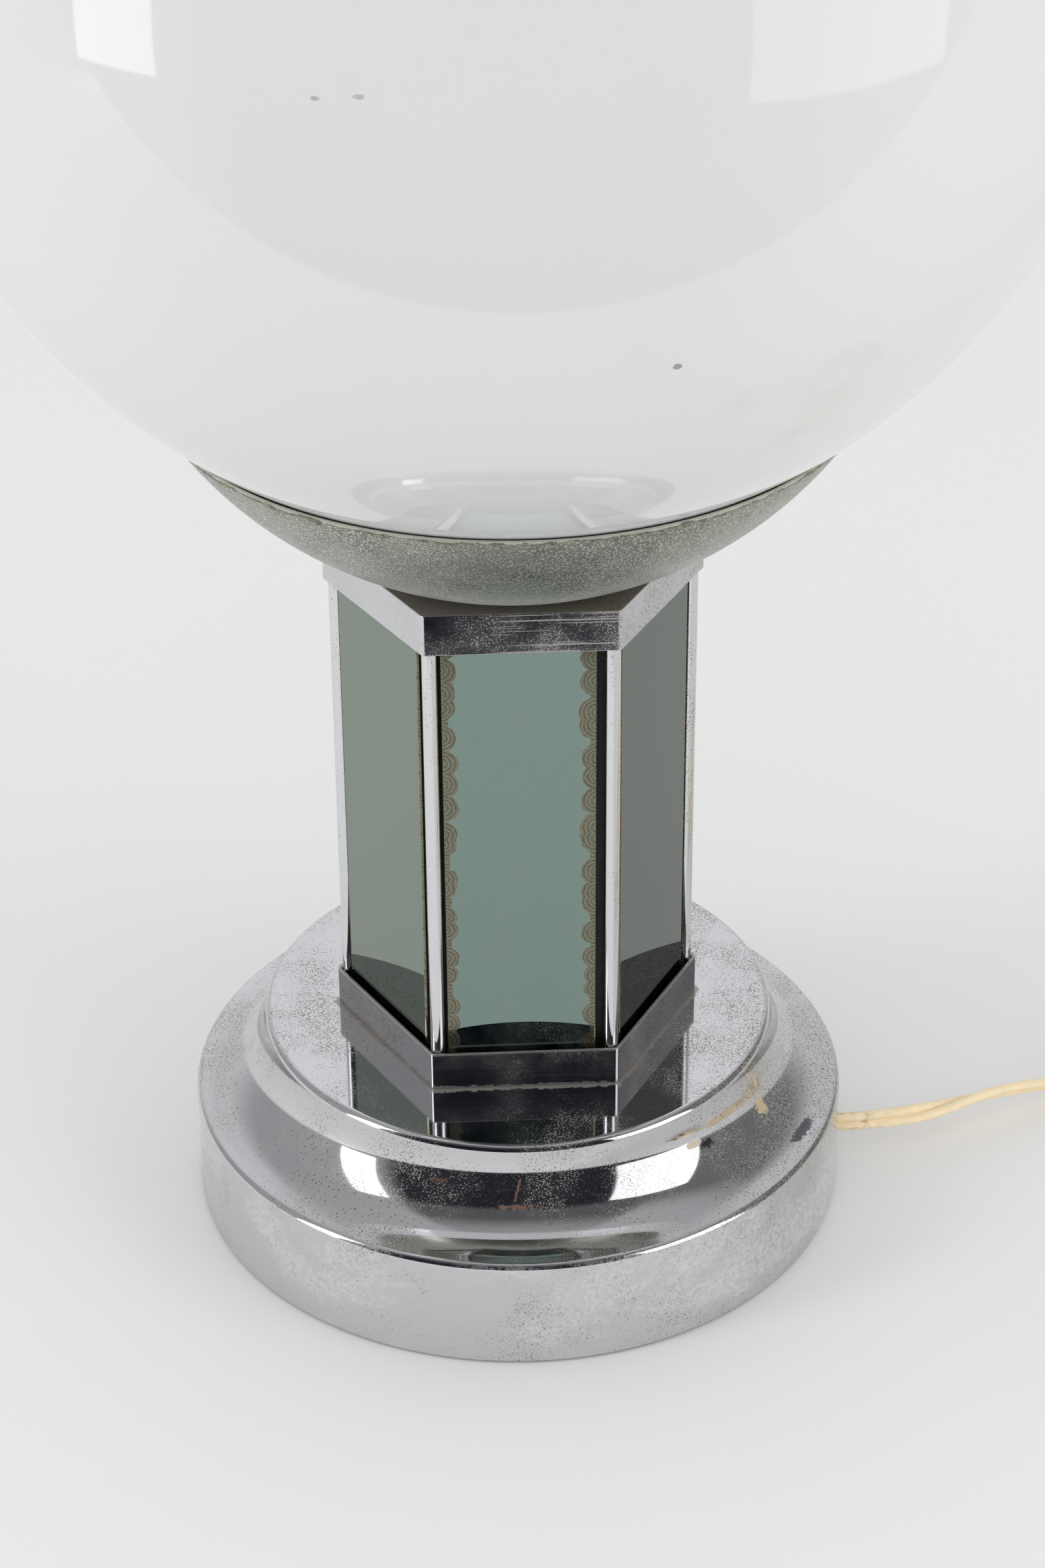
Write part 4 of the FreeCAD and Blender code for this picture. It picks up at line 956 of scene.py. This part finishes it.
@dataclass
class HexColumn:
    """The hexagonal column: two pans, six rods and six mirror panels.

    Least_fold is the angle in radians past which a pan's level edges are rounded. Play is
    each panel's shift sideways in its place, and looks its wear and its silver, from the
    front panel on, anticlockwise from above.
    """

    finishes: Finishes
    radius: float = 49.6 * MM
    sheet: float = 1.0 * MM
    depth: float = 11.2 * MM
    foot: float = 56.2 * MM
    head: float = 200.4 * MM
    corner_round: float = 0.9 * MM
    corner_steps: int = 6
    rim_round: float = 0.25 * MM
    rim_steps: int = 3
    least_fold: float = 1.0
    draft: float = 0.3 * MM
    rod_radius: float = 2.0 * MM
    rod_chamfer: float = 0.3 * MM
    rod_steps: int = 32
    gap: float = 0.1 * MM
    glass_width: float = 39.5 * MM
    glass_thickness: float = 3.0 * MM
    glass_inset: float = 1.2 * MM
    glass_gap: float = 0.3 * MM
    glass_bevel: float = 0.5 * MM
    glass_steps: int = 2
    play: tuple[float, ...] = tuple(shift * MM for shift in (-0.7, 0.0, 0.3, -0.3, 0.2, -1.15))
    looks: tuple[tuple[float, Silver], ...] = (
        (1.0, Silver.PLAIN), (0.4, Silver.DUSK), (0.7, Silver.PLAIN),
        (0.9, Silver.OLIVE), (0.6, Silver.PLAIN), (0.2, Silver.OLIVE),
    )

    @property
    def inner_flat(self) -> float:
        """Half the width across the flats inside the lip."""
        return self.radius * cos(pi / SIDES) - self.sheet

    def pan(self, name: str, node: str, plate: float, lip: Lip) -> None:
        """Makes a pan.

        Args:
            name: The piece's name.
            node: The node that it replaces.
            plate: The height of its plate's outer face, in metres.
            lip: The way in which its lip points.
        """
        shape = bmesh.new()
        bmesh.ops.create_circle(shape, cap_ends=True, segments=SIDES, radius=self.radius,
                                matrix=Matrix.Rotation(pi / SIDES, 4, "Z"))
        lid = lift_faces(shape, shape.faces[:], self.depth)
        bmesh.ops.inset_region(shape, faces=lid, thickness=self.sheet, use_even_offset=True)
        lift_faces(shape, lid, self.sheet - self.depth)
        bmesh.ops.delete(shape, geom=lid, context="FACES_ONLY")
        corners = [e for e in shape.edges if abs(e.verts[0].co.z - e.verts[1].co.z) > NEAR]
        outer = [e for e in corners if e.verts[0].co.xy.length > self.radius - NEAR]
        round_edges(shape, outer, self.corner_round, self.corner_steps)
        rims = [e for e in shape.edges if abs(e.verts[0].co.z - e.verts[1].co.z) < LEVEL
                and e.calc_face_angle(0.0) > self.least_fold]
        round_edges(shape, rims, self.rim_round, self.rim_steps)
        if lip is Lip.DOWN:
            for vertex in shape.verts:
                vertex.co.xy *= 1 - self.draft / self.radius * (1 - vertex.co.z / self.depth)
            bmesh.ops.scale(shape, verts=shape.verts, vec=(1, 1, lip.value))
        bmesh.ops.translate(shape, verts=shape.verts, vec=(0, 0, plate))
        bmesh.ops.recalc_face_normals(shape, faces=shape.faces)
        finish = self.finishes.tray if lip is Lip.UP else self.finishes.cap
        piece = new_piece(name, shape, finish, Body.LAMP)
        piece.modifiers.new("flats", "WEIGHTED_NORMAL").keep_sharp = True
        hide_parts(node)

    def rods(self) -> None:
        """Makes the six corner rods."""
        away = (self.inner_flat - self.rod_radius - self.gap) / cos(pi / SIDES)
        low, high = self.foot + self.sheet + self.gap, self.head - self.sheet - self.gap
        end = self.rod_radius - self.rod_chamfer
        profile = [(0, low), (end, low), (self.rod_radius, low + self.rod_chamfer),
                   (self.rod_radius, high - self.rod_chamfer), (end, high), (0, high)]
        for i in range(SIDES):
            angle = radians(SIDE_TURN * i)
            shape = lathe(profile, self.rod_steps, closed=False)
            bmesh.ops.translate(shape, verts=shape.verts,
                                vec=(away * cos(angle), away * sin(angle), 0))
            name = f"corner_rod_{i + 1}"
            piece = new_piece(f"{name}_bar", shape, self.finishes.rod, Body.LAMP)
            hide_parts(name)

    def pane(self, side: int) -> bmesh.types.BMesh:
        """Shapes a panel, with the distance across it and the height as its UV map.

        Args:
            side: Its number from 0.

        Returns:
            Its shape, in its place.
        """
        face = self.inner_flat - self.glass_inset
        low = self.foot + self.sheet + self.glass_gap
        high = self.head - self.sheet - self.glass_gap
        size = (self.glass_width, self.glass_thickness, high - low)
        middle = (0, self.glass_thickness / 2 - face, (low + high) / 2)
        shape = bmesh.new()
        bmesh.ops.create_cube(shape, size=1.0, matrix=Matrix.Translation(middle)
                              @ Matrix.Diagonal((*size, 1.0)))
        front = [e for e in shape.edges if all(v.co.y < -face + LEVEL for v in e.verts)]
        round_edges(shape, front, self.glass_bevel, self.glass_steps)
        layer = shape.loops.layers.uv.new("panel")
        for polygon in shape.faces:
            for loop in polygon.loops:
                loop[layer].uv = (loop.vert.co.x, loop.vert.co.z)
        bmesh.ops.translate(shape, verts=shape.verts, vec=(self.play[side], 0, 0))
        bmesh.ops.rotate(shape, verts=shape.verts, cent=(0, 0, 0),
                         matrix=Matrix.Rotation(radians(SIDE_TURN * side), 3, "Z"))
        return shape

    def panels(self) -> None:
        """Makes the six mirror panels, each with its own wear."""
        for i, (wear, silver) in enumerate(self.looks):
            glass = WornMirror(f"mirror_glass_{i + 1}", self.glass_width / 2, wear, silver)
            name = f"glass_panel_{i + 1}"
            piece = new_piece(f"{name}_pane", self.pane(i), glass.material(), Body.LAMP, sharp=20.0)
            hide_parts(name)

    def build(self) -> None:
        """Makes the whole column."""
        self.pan("tray", "column_tray", self.foot, Lip.UP)
        self.pan("cap", "column_cap", self.head, Lip.DOWN)
        self.rods()
        self.panels()


@dataclass
class DishAndGlobe:
    """The spun dish and the opal globe that rests in its rim.

    Steps are those of the arcs outside and inside. Bead_open is the part of the bead, in
    radians at each end, that the dish's wall takes up.
    """

    foot: float = 200.4 * MM
    curve: float = 104.6 * MM
    rim_radius: float = 89.5 * MM
    depth: float = 44.1 * MM
    sheet: float = 1.2 * MM
    dish_steps: tuple[int, int] = (48, 24)
    bead: float = 0.6 * MM
    bead_open: float = 0.2
    bead_steps: int = 8
    stem_hole: float = 5.1 * MM
    globe_radius: float = 150.0 * MM
    globe_wall: float = 3.0 * MM
    globe_steps: tuple[int, int] = (110, 50)
    mouth: float = 50.0 * MM
    seat_gap: float = 0.3 * MM

    def dish(self) -> None:
        """Makes the dish."""
        rim = self.foot + self.depth
        floor = self.foot + self.sheet
        centre = rim + sqrt(self.curve**2 - self.rim_radius**2)
        inner_curve = self.curve - self.sheet
        outer = arc((0, centre), self.curve, -asin((centre - self.foot) / self.curve),
                    -asin((centre - rim) / self.curve), self.dish_steps[0])
        inner = arc((0, centre), inner_curve, -asin((centre - rim) / inner_curve),
                    -asin((centre - floor) / inner_curve), self.dish_steps[1])
        bead = arc((self.rim_radius - self.bead, rim), self.bead, self.bead_open,
                   pi - self.bead_open, self.bead_steps)
        profile = [(self.stem_hole, self.foot)] + outer + bead + inner + [(self.stem_hole, floor)]
        finish = DullDishChrome("dish_chrome", rim + self.bead).material()
        piece = new_piece("dish_bowl", lathe(profile), finish, Body.LAMP, sharp=25.0)
        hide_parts("dish")

    def globe(self) -> None:
        """Makes the globe, as two spun walls joined round the mouth."""
        reach = self.globe_radius + self.bead + self.seat_gap
        centre = self.foot + self.depth + sqrt(
            reach**2 - (self.rim_radius - self.bead) ** 2)
        inside = self.globe_radius - self.globe_wall
        outer = arc((0, centre), self.globe_radius, -acos(self.mouth / self.globe_radius),
                    pi / 2, self.globe_steps[0])
        inner = arc((0, centre), inside, pi / 2, -acos(self.mouth / inside),
                    self.globe_steps[1])
        outer[-1], inner[0] = (0, outer[-1][1]), (0, inner[0][1])
        shape = lathe(outer, closed=False)
        data = mesh_of("inner", lathe(inner, closed=False))
        shape.from_mesh(data)
        bpy.data.meshes.remove(data)
        mouth = [e for e in shape.edges if e.is_boundary]
        bmesh.ops.bridge_loops(shape, edges=mouth)
        bmesh.ops.recalc_face_normals(shape, faces=shape.faces)
        piece = new_piece("opal_globe", shape, OpalGlass().material(), Body.GLOBE)
        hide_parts("globe")

    def build(self) -> None:
        """Makes both."""
        self.dish()
        self.globe()


@dataclass
class SupplyCord:
    """The ivory twin flat cord: from the bush, through the switch and its coil, to the plug.

    To_switch and to_coil hold control points up to the switch and from there to the coil,
    each followed by the turn in degrees of the cord's wide side from level. To_plug holds
    the share of the way from the coil to the plug, the share of the height and the turn.
    Web is half the angle in radians of the part of each core's outline that the web between them
    takes up, and carried names the small nodes that belong with the cord besides the mouldings;
    build gathers them into a list and does nothing more with it.
    """

    finishes: Finishes
    width: float = 5.4 * MM
    azimuth: float = radians(-3.5)
    start_radius: float = 84.0 * MM
    mouth_radius: float = 89.8 * MM
    height: float = 12.5 * MM
    to_switch: tuple[tuple[float, ...], ...] = (
        (0.0910, -0.0055, 0.0125, 88), (0.0995, -0.0047, 0.0122, 82),
        (0.1095, -0.0024, 0.0114, 60), (0.1185, 0.0012, 0.0104, 14),
        (0.1270, 0.0060, 0.0094, -22), (0.1355, 0.0103, 0.0086, -52),
        (0.1440, 0.0137, 0.0078, -60), (0.1536, 0.0162, 0.0071, -58),
        (0.1634, 0.0187, 0.0066, -30), (0.1730, 0.0200, 0.0064, 0), (0.1835, 0.0200, 0.0064, 0),
    )
    to_coil: tuple[tuple[float, ...], ...] = (
        (0.2385, 0.0200, 0.0064, 0), (0.2454, 0.0200, 0.0064, 0), (0.2540, 0.0200, 0.0056, 8),
        (0.2600, 0.0200, 0.0032, 30), (0.2690, 0.0198, 0.00275, 60),
        (0.2790, 0.0165, 0.00275, 84), (0.2870, 0.0080, 0.00275, 90),
        (0.2915, -0.0040, 0.00275, 90), (0.2932, -0.0180, 0.00275, 90),
        (0.2935, -0.0290, 0.00275, 90),
    )
    coil_centre: Point = (0.250597, -0.038, 0.0)
    coil_inner: float = 21.6 * MM
    pitch: float = 5.9 * MM
    turns: float = 7.1875
    low: float = 2.75 * MM
    per_turn: int = 12
    leave: float = 34.0 * MM
    plug_height: float = 6.85 * MM
    to_plug: tuple[tuple[float, ...], ...] = (
        (0.3, 0.0, 80.0), (0.55, 0.5, 50.0), (0.8, 1.0, 16.0), (1.0, 1.0, 0.0), (1.2, 1.0, 0.0)
    )
    web: float = 0.3
    lobe_steps: int = 12
    length: float = 1.755
    carried: tuple[str, ...] = ("plug_pins", "plug_sleeves", "switch_screws", "switch_terminals")

    def coil_point(self, turned: float) -> Point:
        """Finds a control point of the coil.

        Args:
            turned: How many turns it is from the coil's outer start.

        Returns:
            The point.
        """
        away = abs(turned - self.turns / 2)
        # The curve runs inside its control points, by this factor.
        shrink = 0.75 + 0.25 * cos(2 * pi / self.per_turn)
        radius = (self.coil_inner + self.pitch * away) / shrink
        share = min(max((turned - self.turns / 2) / 0.5 + 0.5, 0.0), 1.0)
        climb = (1 - cos(pi * share)) / 2
        angle = -2 * pi * turned
        return tuple(Vector(self.coil_centre) + Vector(
            (radius * cos(angle), radius * sin(angle), self.low + self.pitch * climb)))

    def route(self) -> tuple[list[Point], list[float]]:
        """Finds the cord's way from the bush to the plug.

        Returns:
            Its control points, and the turn in degrees of its wide side from level at each.
        """
        start = (self.start_radius * cos(self.azimuth),
                 self.start_radius * sin(self.azimuth), self.height)
        rows = ((*start, 90.0), *self.to_switch, *self.to_coil)
        points: list[Point] = [row[:3] for row in rows]
        turns = [row[3] for row in rows]
        count = round(self.turns * self.per_turn)
        points += [self.coil_point(self.turns * i / count) for i in range(1, count + 1)]
        turns += [90.0] * count
        angle = -2 * pi * self.turns
        way = Vector((sin(angle), -cos(angle), 0.0))
        edge = Vector(self.coil_centre) + Vector((cos(angle), sin(angle), 0.0)) * (
            self.coil_inner + self.pitch * self.turns / 2)
        top = self.low + self.pitch
        for share, level, turn in self.to_plug:
            spot = edge + way * (self.leave * share)
            spot.z = top + (self.plug_height - top) * level
            points.append(tuple(spot))
            turns.append(turn)
        return points, turns

    def section(self) -> bpy.types.Object:
        """Makes the cord's cross-section: two round cores side by side with a web between.

        Returns:
            The section's curve.
        """
        radius = self.width / 4
        lobe = [(radius + x, y) for x, y in
                arc((0.0, 0.0), radius, pi - self.web, self.web - pi, self.lobe_steps)]
        ring = lobe + [(-x, -y) for x, y in lobe]
        curve = bpy.data.curves.new("section", "CURVE")
        curve.dimensions = "2D"
        spline = curve.splines.new("POLY")
        spline.points.add(len(ring) - 1)
        for point, (x, y) in zip(spline.points, ring):
            point.co = (x, y, 0.0, 1.0)
        spline.use_cyclic_u = True
        return new_object("section", curve)

    def sweep(self) -> tuple[bmesh.types.BMesh, list[Vector]]:
        """Draws the section along the route.

        Returns:
            The cord's shape and the points of its middle line.
        """
        points, turns = self.route()
        curve = bpy.data.curves.new("cord_line", "CURVE")
        curve.dimensions = "3D"
        curve.twist_mode = "Z_UP"
        curve.resolution_u = 6
        spline = curve.splines.new("NURBS")
        spline.points.add(len(points) - 1)
        for point, place, turn in zip(spline.points, points, turns):
            point.co = (*place, 1.0)
            point.tilt = radians(turn)
        spline.order_u = 3
        spline.use_endpoint_u = True
        line = new_object("cord_line", curve)
        bare = bpy.data.meshes.new_from_object(line)
        path = [vertex.co.copy() for vertex in bare.vertices]
        section = self.section()
        curve.bevel_mode = "OBJECT"
        curve.bevel_object = section
        curve.use_fill_caps = True
        bpy.context.view_layer.update()
        swept = line.evaluated_get(bpy.context.evaluated_depsgraph_get())
        shape = bmesh.new()
        shape.from_mesh(bpy.data.meshes.new_from_object(swept))
        for spare in (line, section):
            bpy.data.objects.remove(spare)
        bmesh.ops.recalc_face_normals(shape, faces=shape.faces)
        return shape, path

    def build(self, mouldings: list[bpy.types.Object]) -> None:
        """Makes the cord.

        Args:
            mouldings: The switch's and the plug's own pieces, which are only gathered into that
                list.
        """
        shape, path = self.sweep()
        sheath = self.finishes.stock[Stock.CORD]
        piece = new_piece("mains_cord", shape, sheath, Body.LAMP, sharp=50.0)
        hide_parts("supply_cord", "cord_coil")
        carried = mouldings + [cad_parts[name] for name in self.carried]


def dress_nodes(finishes: Finishes) -> None:
    """Gives each carried-over node its finish.

    Args:
        finishes: The lamp's finishes.
    """
    for stock, names in NODES_OF_STOCK.items():
        for name in names.split():
            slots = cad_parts[name].data.materials
            slots.clear()
            slots.append(finishes.stock[stock])
            LOG.info("%s: its own mesh, in %s", name, stock.value.name)


@dataclass(frozen=True)
class SoftBox:
    """A soft box: its bearing from the lamp in degrees, clockwise from the back, its width,
    its height, the height of its middle and its distance in metres, and its power in watts.
    """

    name: str
    azimuth: float
    width: float
    height: float
    middle: float
    power: float
    away: float = 1.3

    def build(self) -> None:
        """Stands it beside the lamp, facing it."""
        light = bpy.data.lights.new(self.name, "AREA")
        light.shape = "RECTANGLE"
        light.size, light.size_y = self.width, self.height
        light.energy = self.power
        lamp = new_object(self.name, light)
        x = self.away * sin(radians(self.azimuth))
        y = self.away * cos(radians(self.azimuth))
        lamp.location = (x, y, self.middle)
        lamp.rotation_euler = Vector((-x, -y, 0.0)).to_track_quat("-Z", "Y").to_euler()


@dataclass
class Studio:
    """A pale table top, two tall soft boxes, a dark room in front and a grey ceiling.

    Reflections see the table only as far as its front edge, at table_front, and by the
    share table_dim less of it on the right, past the two places of dim_edge. The colours
    from back to front are the room's for them.
    """

    table_front: float = -0.377
    table_size: float = 16.0
    table_dim: float = 0.2
    dim_edge: tuple[float, float] = (0.06, 0.12)
    table_tint: Colour = (0.895, 0.895, 0.893)
    room_tint: Colour = (0.82, 0.82, 0.822)
    back: tuple[Colour, Colour] = ((0.92, 0.92, 0.94), (0.7, 0.7, 0.71))
    right: Colour = (0.17, 0.17, 0.17)
    left: Colour = (0.4, 0.4, 0.41)
    overhead: Colour = (0.46, 0.46, 0.47)
    ceiling: tuple[Colour, Colour] = ((0.11, 0.11, 0.115), (0.38, 0.38, 0.385))
    front: Colour = (0.014, 0.014, 0.02)
    boxes: tuple[SoftBox, ...] = (
        SoftBox("left_box", azimuth=-112.0, width=0.35, height=1.2, middle=0.64, power=4.7),
        SoftBox("right_box", azimuth=126.0, width=0.85, height=1.2, middle=0.58, power=4.9),
    )

    def table(self) -> None:
        """Makes the table top."""
        shape = bmesh.new()
        bmesh.ops.create_grid(shape, x_segments=1, y_segments=1, size=self.table_size / 2)
        data = mesh_of("table_top", shape)
        material, mix = recipe_for("table_paper")
        paper = mix.add("ShaderNodeBsdfPrincipled", None, Base_Color=self.table_tint,
                        Roughness=0.9, Specular_IOR_Level=0.1)
        clear = mix.add("ShaderNodeBsdfTransparent")
        across, along, _ = mix.parts(mix.place())
        gloss = Signal(mix, mix.add("ShaderNodeLightPath").outputs["Is Glossy Ray"])
        dim = across.step(*self.dim_edge) * self.table_dim
        beyond = gloss * (self.table_front - along).above(0.0).most(dim)
        both = mix.add("ShaderNodeMixShader", None, beyond, paper.outputs[0], clear.outputs[0])
        mix.add("ShaderNodeOutputMaterial", None, both.outputs[0])
        data.materials.append(material)
        table = new_object("table_top", data)

    def world(self) -> None:
        """Makes the room, pale to the eye.

        Reflections see it dark in front, grey at the sides and overhead, and pale behind.
        """
        world = bpy.data.worlds.new("room")
        world.use_nodes = True
        bpy.context.scene.world = world
        mix = Recipe(world.node_tree)
        x, y, z = mix.parts(mix.add("ShaderNodeTexCoord").outputs["Generated"])
        level = (x * x + y * y + 0.0001) ** 0.5
        east, north = x / level, y / level
        room = mix.blend(east.absolute().step(0.1, 0.5), *self.back)
        room = mix.blend(east.step(0.55, 0.85), room, self.right)
        room = mix.blend(east.step(-0.55, -0.85), room, self.left)
        room = mix.blend(z.step(0.72, 0.9), room, self.overhead)
        ceiling = mix.blend(z.step(0.82, 1.0), *self.ceiling)
        front = mix.blend(z.step(0.64, 0.73), self.front, ceiling)
        room = mix.blend(north.step(-0.45, -0.65), room, front)
        mirrored = mix.add("ShaderNodeBackground", None, room, 1.0)
        plain = mix.add("ShaderNodeBackground", None, self.room_tint, 1.0)
        gloss = mix.add("ShaderNodeLightPath").outputs["Is Glossy Ray"]
        both = mix.add("ShaderNodeMixShader", None, gloss, plain.outputs[0], mirrored.outputs[0])
        mix.add("ShaderNodeOutputWorld", None, both.outputs[0])

    def build(self) -> None:
        """Sets the studio up."""
        self.table()
        self.world()
        for box in self.boxes:
            box.build()


@dataclass
class PhotoCamera:
    """The photograph's camera: place, bearing, tilt, roll and lens."""

    place: Point = (-0.0366, -0.8375, 0.6394)
    bearing: float = radians(2.631)
    down: float = radians(31.541)
    roll: float = radians(-0.465)
    lens: float = 84.33
    film: float = 36.0

    def build(self) -> None:
        """Makes it the scene's camera."""
        ahead = Vector((sin(self.bearing) * cos(self.down),
                        cos(self.bearing) * cos(self.down), -sin(self.down)))
        level = Vector((cos(self.bearing), -sin(self.bearing), 0.0))
        upright = level.cross(ahead)
        right = level * cos(self.roll) + upright * sin(self.roll)
        up = upright * cos(self.roll) - level * sin(self.roll)
        data = bpy.data.cameras.new("photo_camera")
        data.lens = self.lens
        data.sensor_width = self.film
        camera = new_object("photo_camera", data)
        turn = Matrix((right, up, -ahead)).transposed().to_4x4()
        camera.matrix_world = Matrix.Translation(self.place) @ turn
        bpy.context.scene.camera = camera


def soften(node: str, material: bpy.types.Material, body: Body, width: float
           ) -> bpy.types.Object:
    """Copies a moulded node with its edges rounded, and replaces the node with the copy.

    Args:
        node: The node's name.
        material: The copy's finish.
        body: The body that it rides on.
        width: The rounding's width in metres.

    Returns:
        The copy.
    """
    shape = bmesh.new()
    shape.from_mesh(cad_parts[node].data)
    bmesh.ops.remove_doubles(shape, verts=shape.verts, dist=LEVEL)
    bmesh.ops.dissolve_limit(shape, angle_limit=radians(1.0), verts=shape.verts,
                             edges=shape.edges)
    piece = new_piece(f"{node}_moulding", shape, material, body, sharp=30.0)
    rounding = piece.modifiers.new("edges", "BEVEL")
    rounding.width = width
    rounding.segments = 3
    rounding.limit_method = "ANGLE"
    rounding.angle_limit = radians(40.0)
    rounding.harden_normals = True
    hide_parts(node)
    return piece


@dataclass
class InlineSwitch:
    """The cord's switch: two halves of a moulded case and a rocker, with rounded edges."""

    finishes: Finishes
    case_edge: float = 0.4 * MM
    rocker_edge: float = 0.3 * MM

    def build(self) -> list[bpy.types.Object]:
        """Makes the three mouldings.

        Returns:
            Their pieces.
        """
        ivory, rocker = self.finishes.stock[Stock.IVORY], self.finishes.stock[Stock.ROCKER]
        return [
            soften("switch_base", ivory, Body.LAMP, self.case_edge),
            soften("switch_cover", ivory, Body.LAMP, self.case_edge),
            soften("switch_rocker", rocker, Body.ROCKER, self.rocker_edge),
        ]


@dataclass
class MainsPlug:
    """The flat two-pin plug's moulded body."""

    finishes: Finishes
    edge: float = 0.8 * MM

    def build(self) -> list[bpy.types.Object]:
        """Makes the body."""
        ivory = self.finishes.stock[Stock.IVORY]
        return [soften("plug_body", ivory, Body.LAMP, self.edge)]


def main() -> None:
    """Builds the dressed lamp, its studio and its camera."""
    logging.basicConfig(level=logging.INFO, format="%(message)s")
    view = bpy.context.scene.view_settings
    view.view_transform = "Standard"
    finishes = Finishes()
    PhotoCamera().build()
    SupplyCord(finishes).build(InlineSwitch(finishes).build() + MainsPlug(finishes).build())
    SpunBase(finishes).build()
    HexColumn(finishes).build()
    DishAndGlobe().build()
    dress_nodes(finishes)
    Studio().build()


if __name__ == "__main__":
    main()
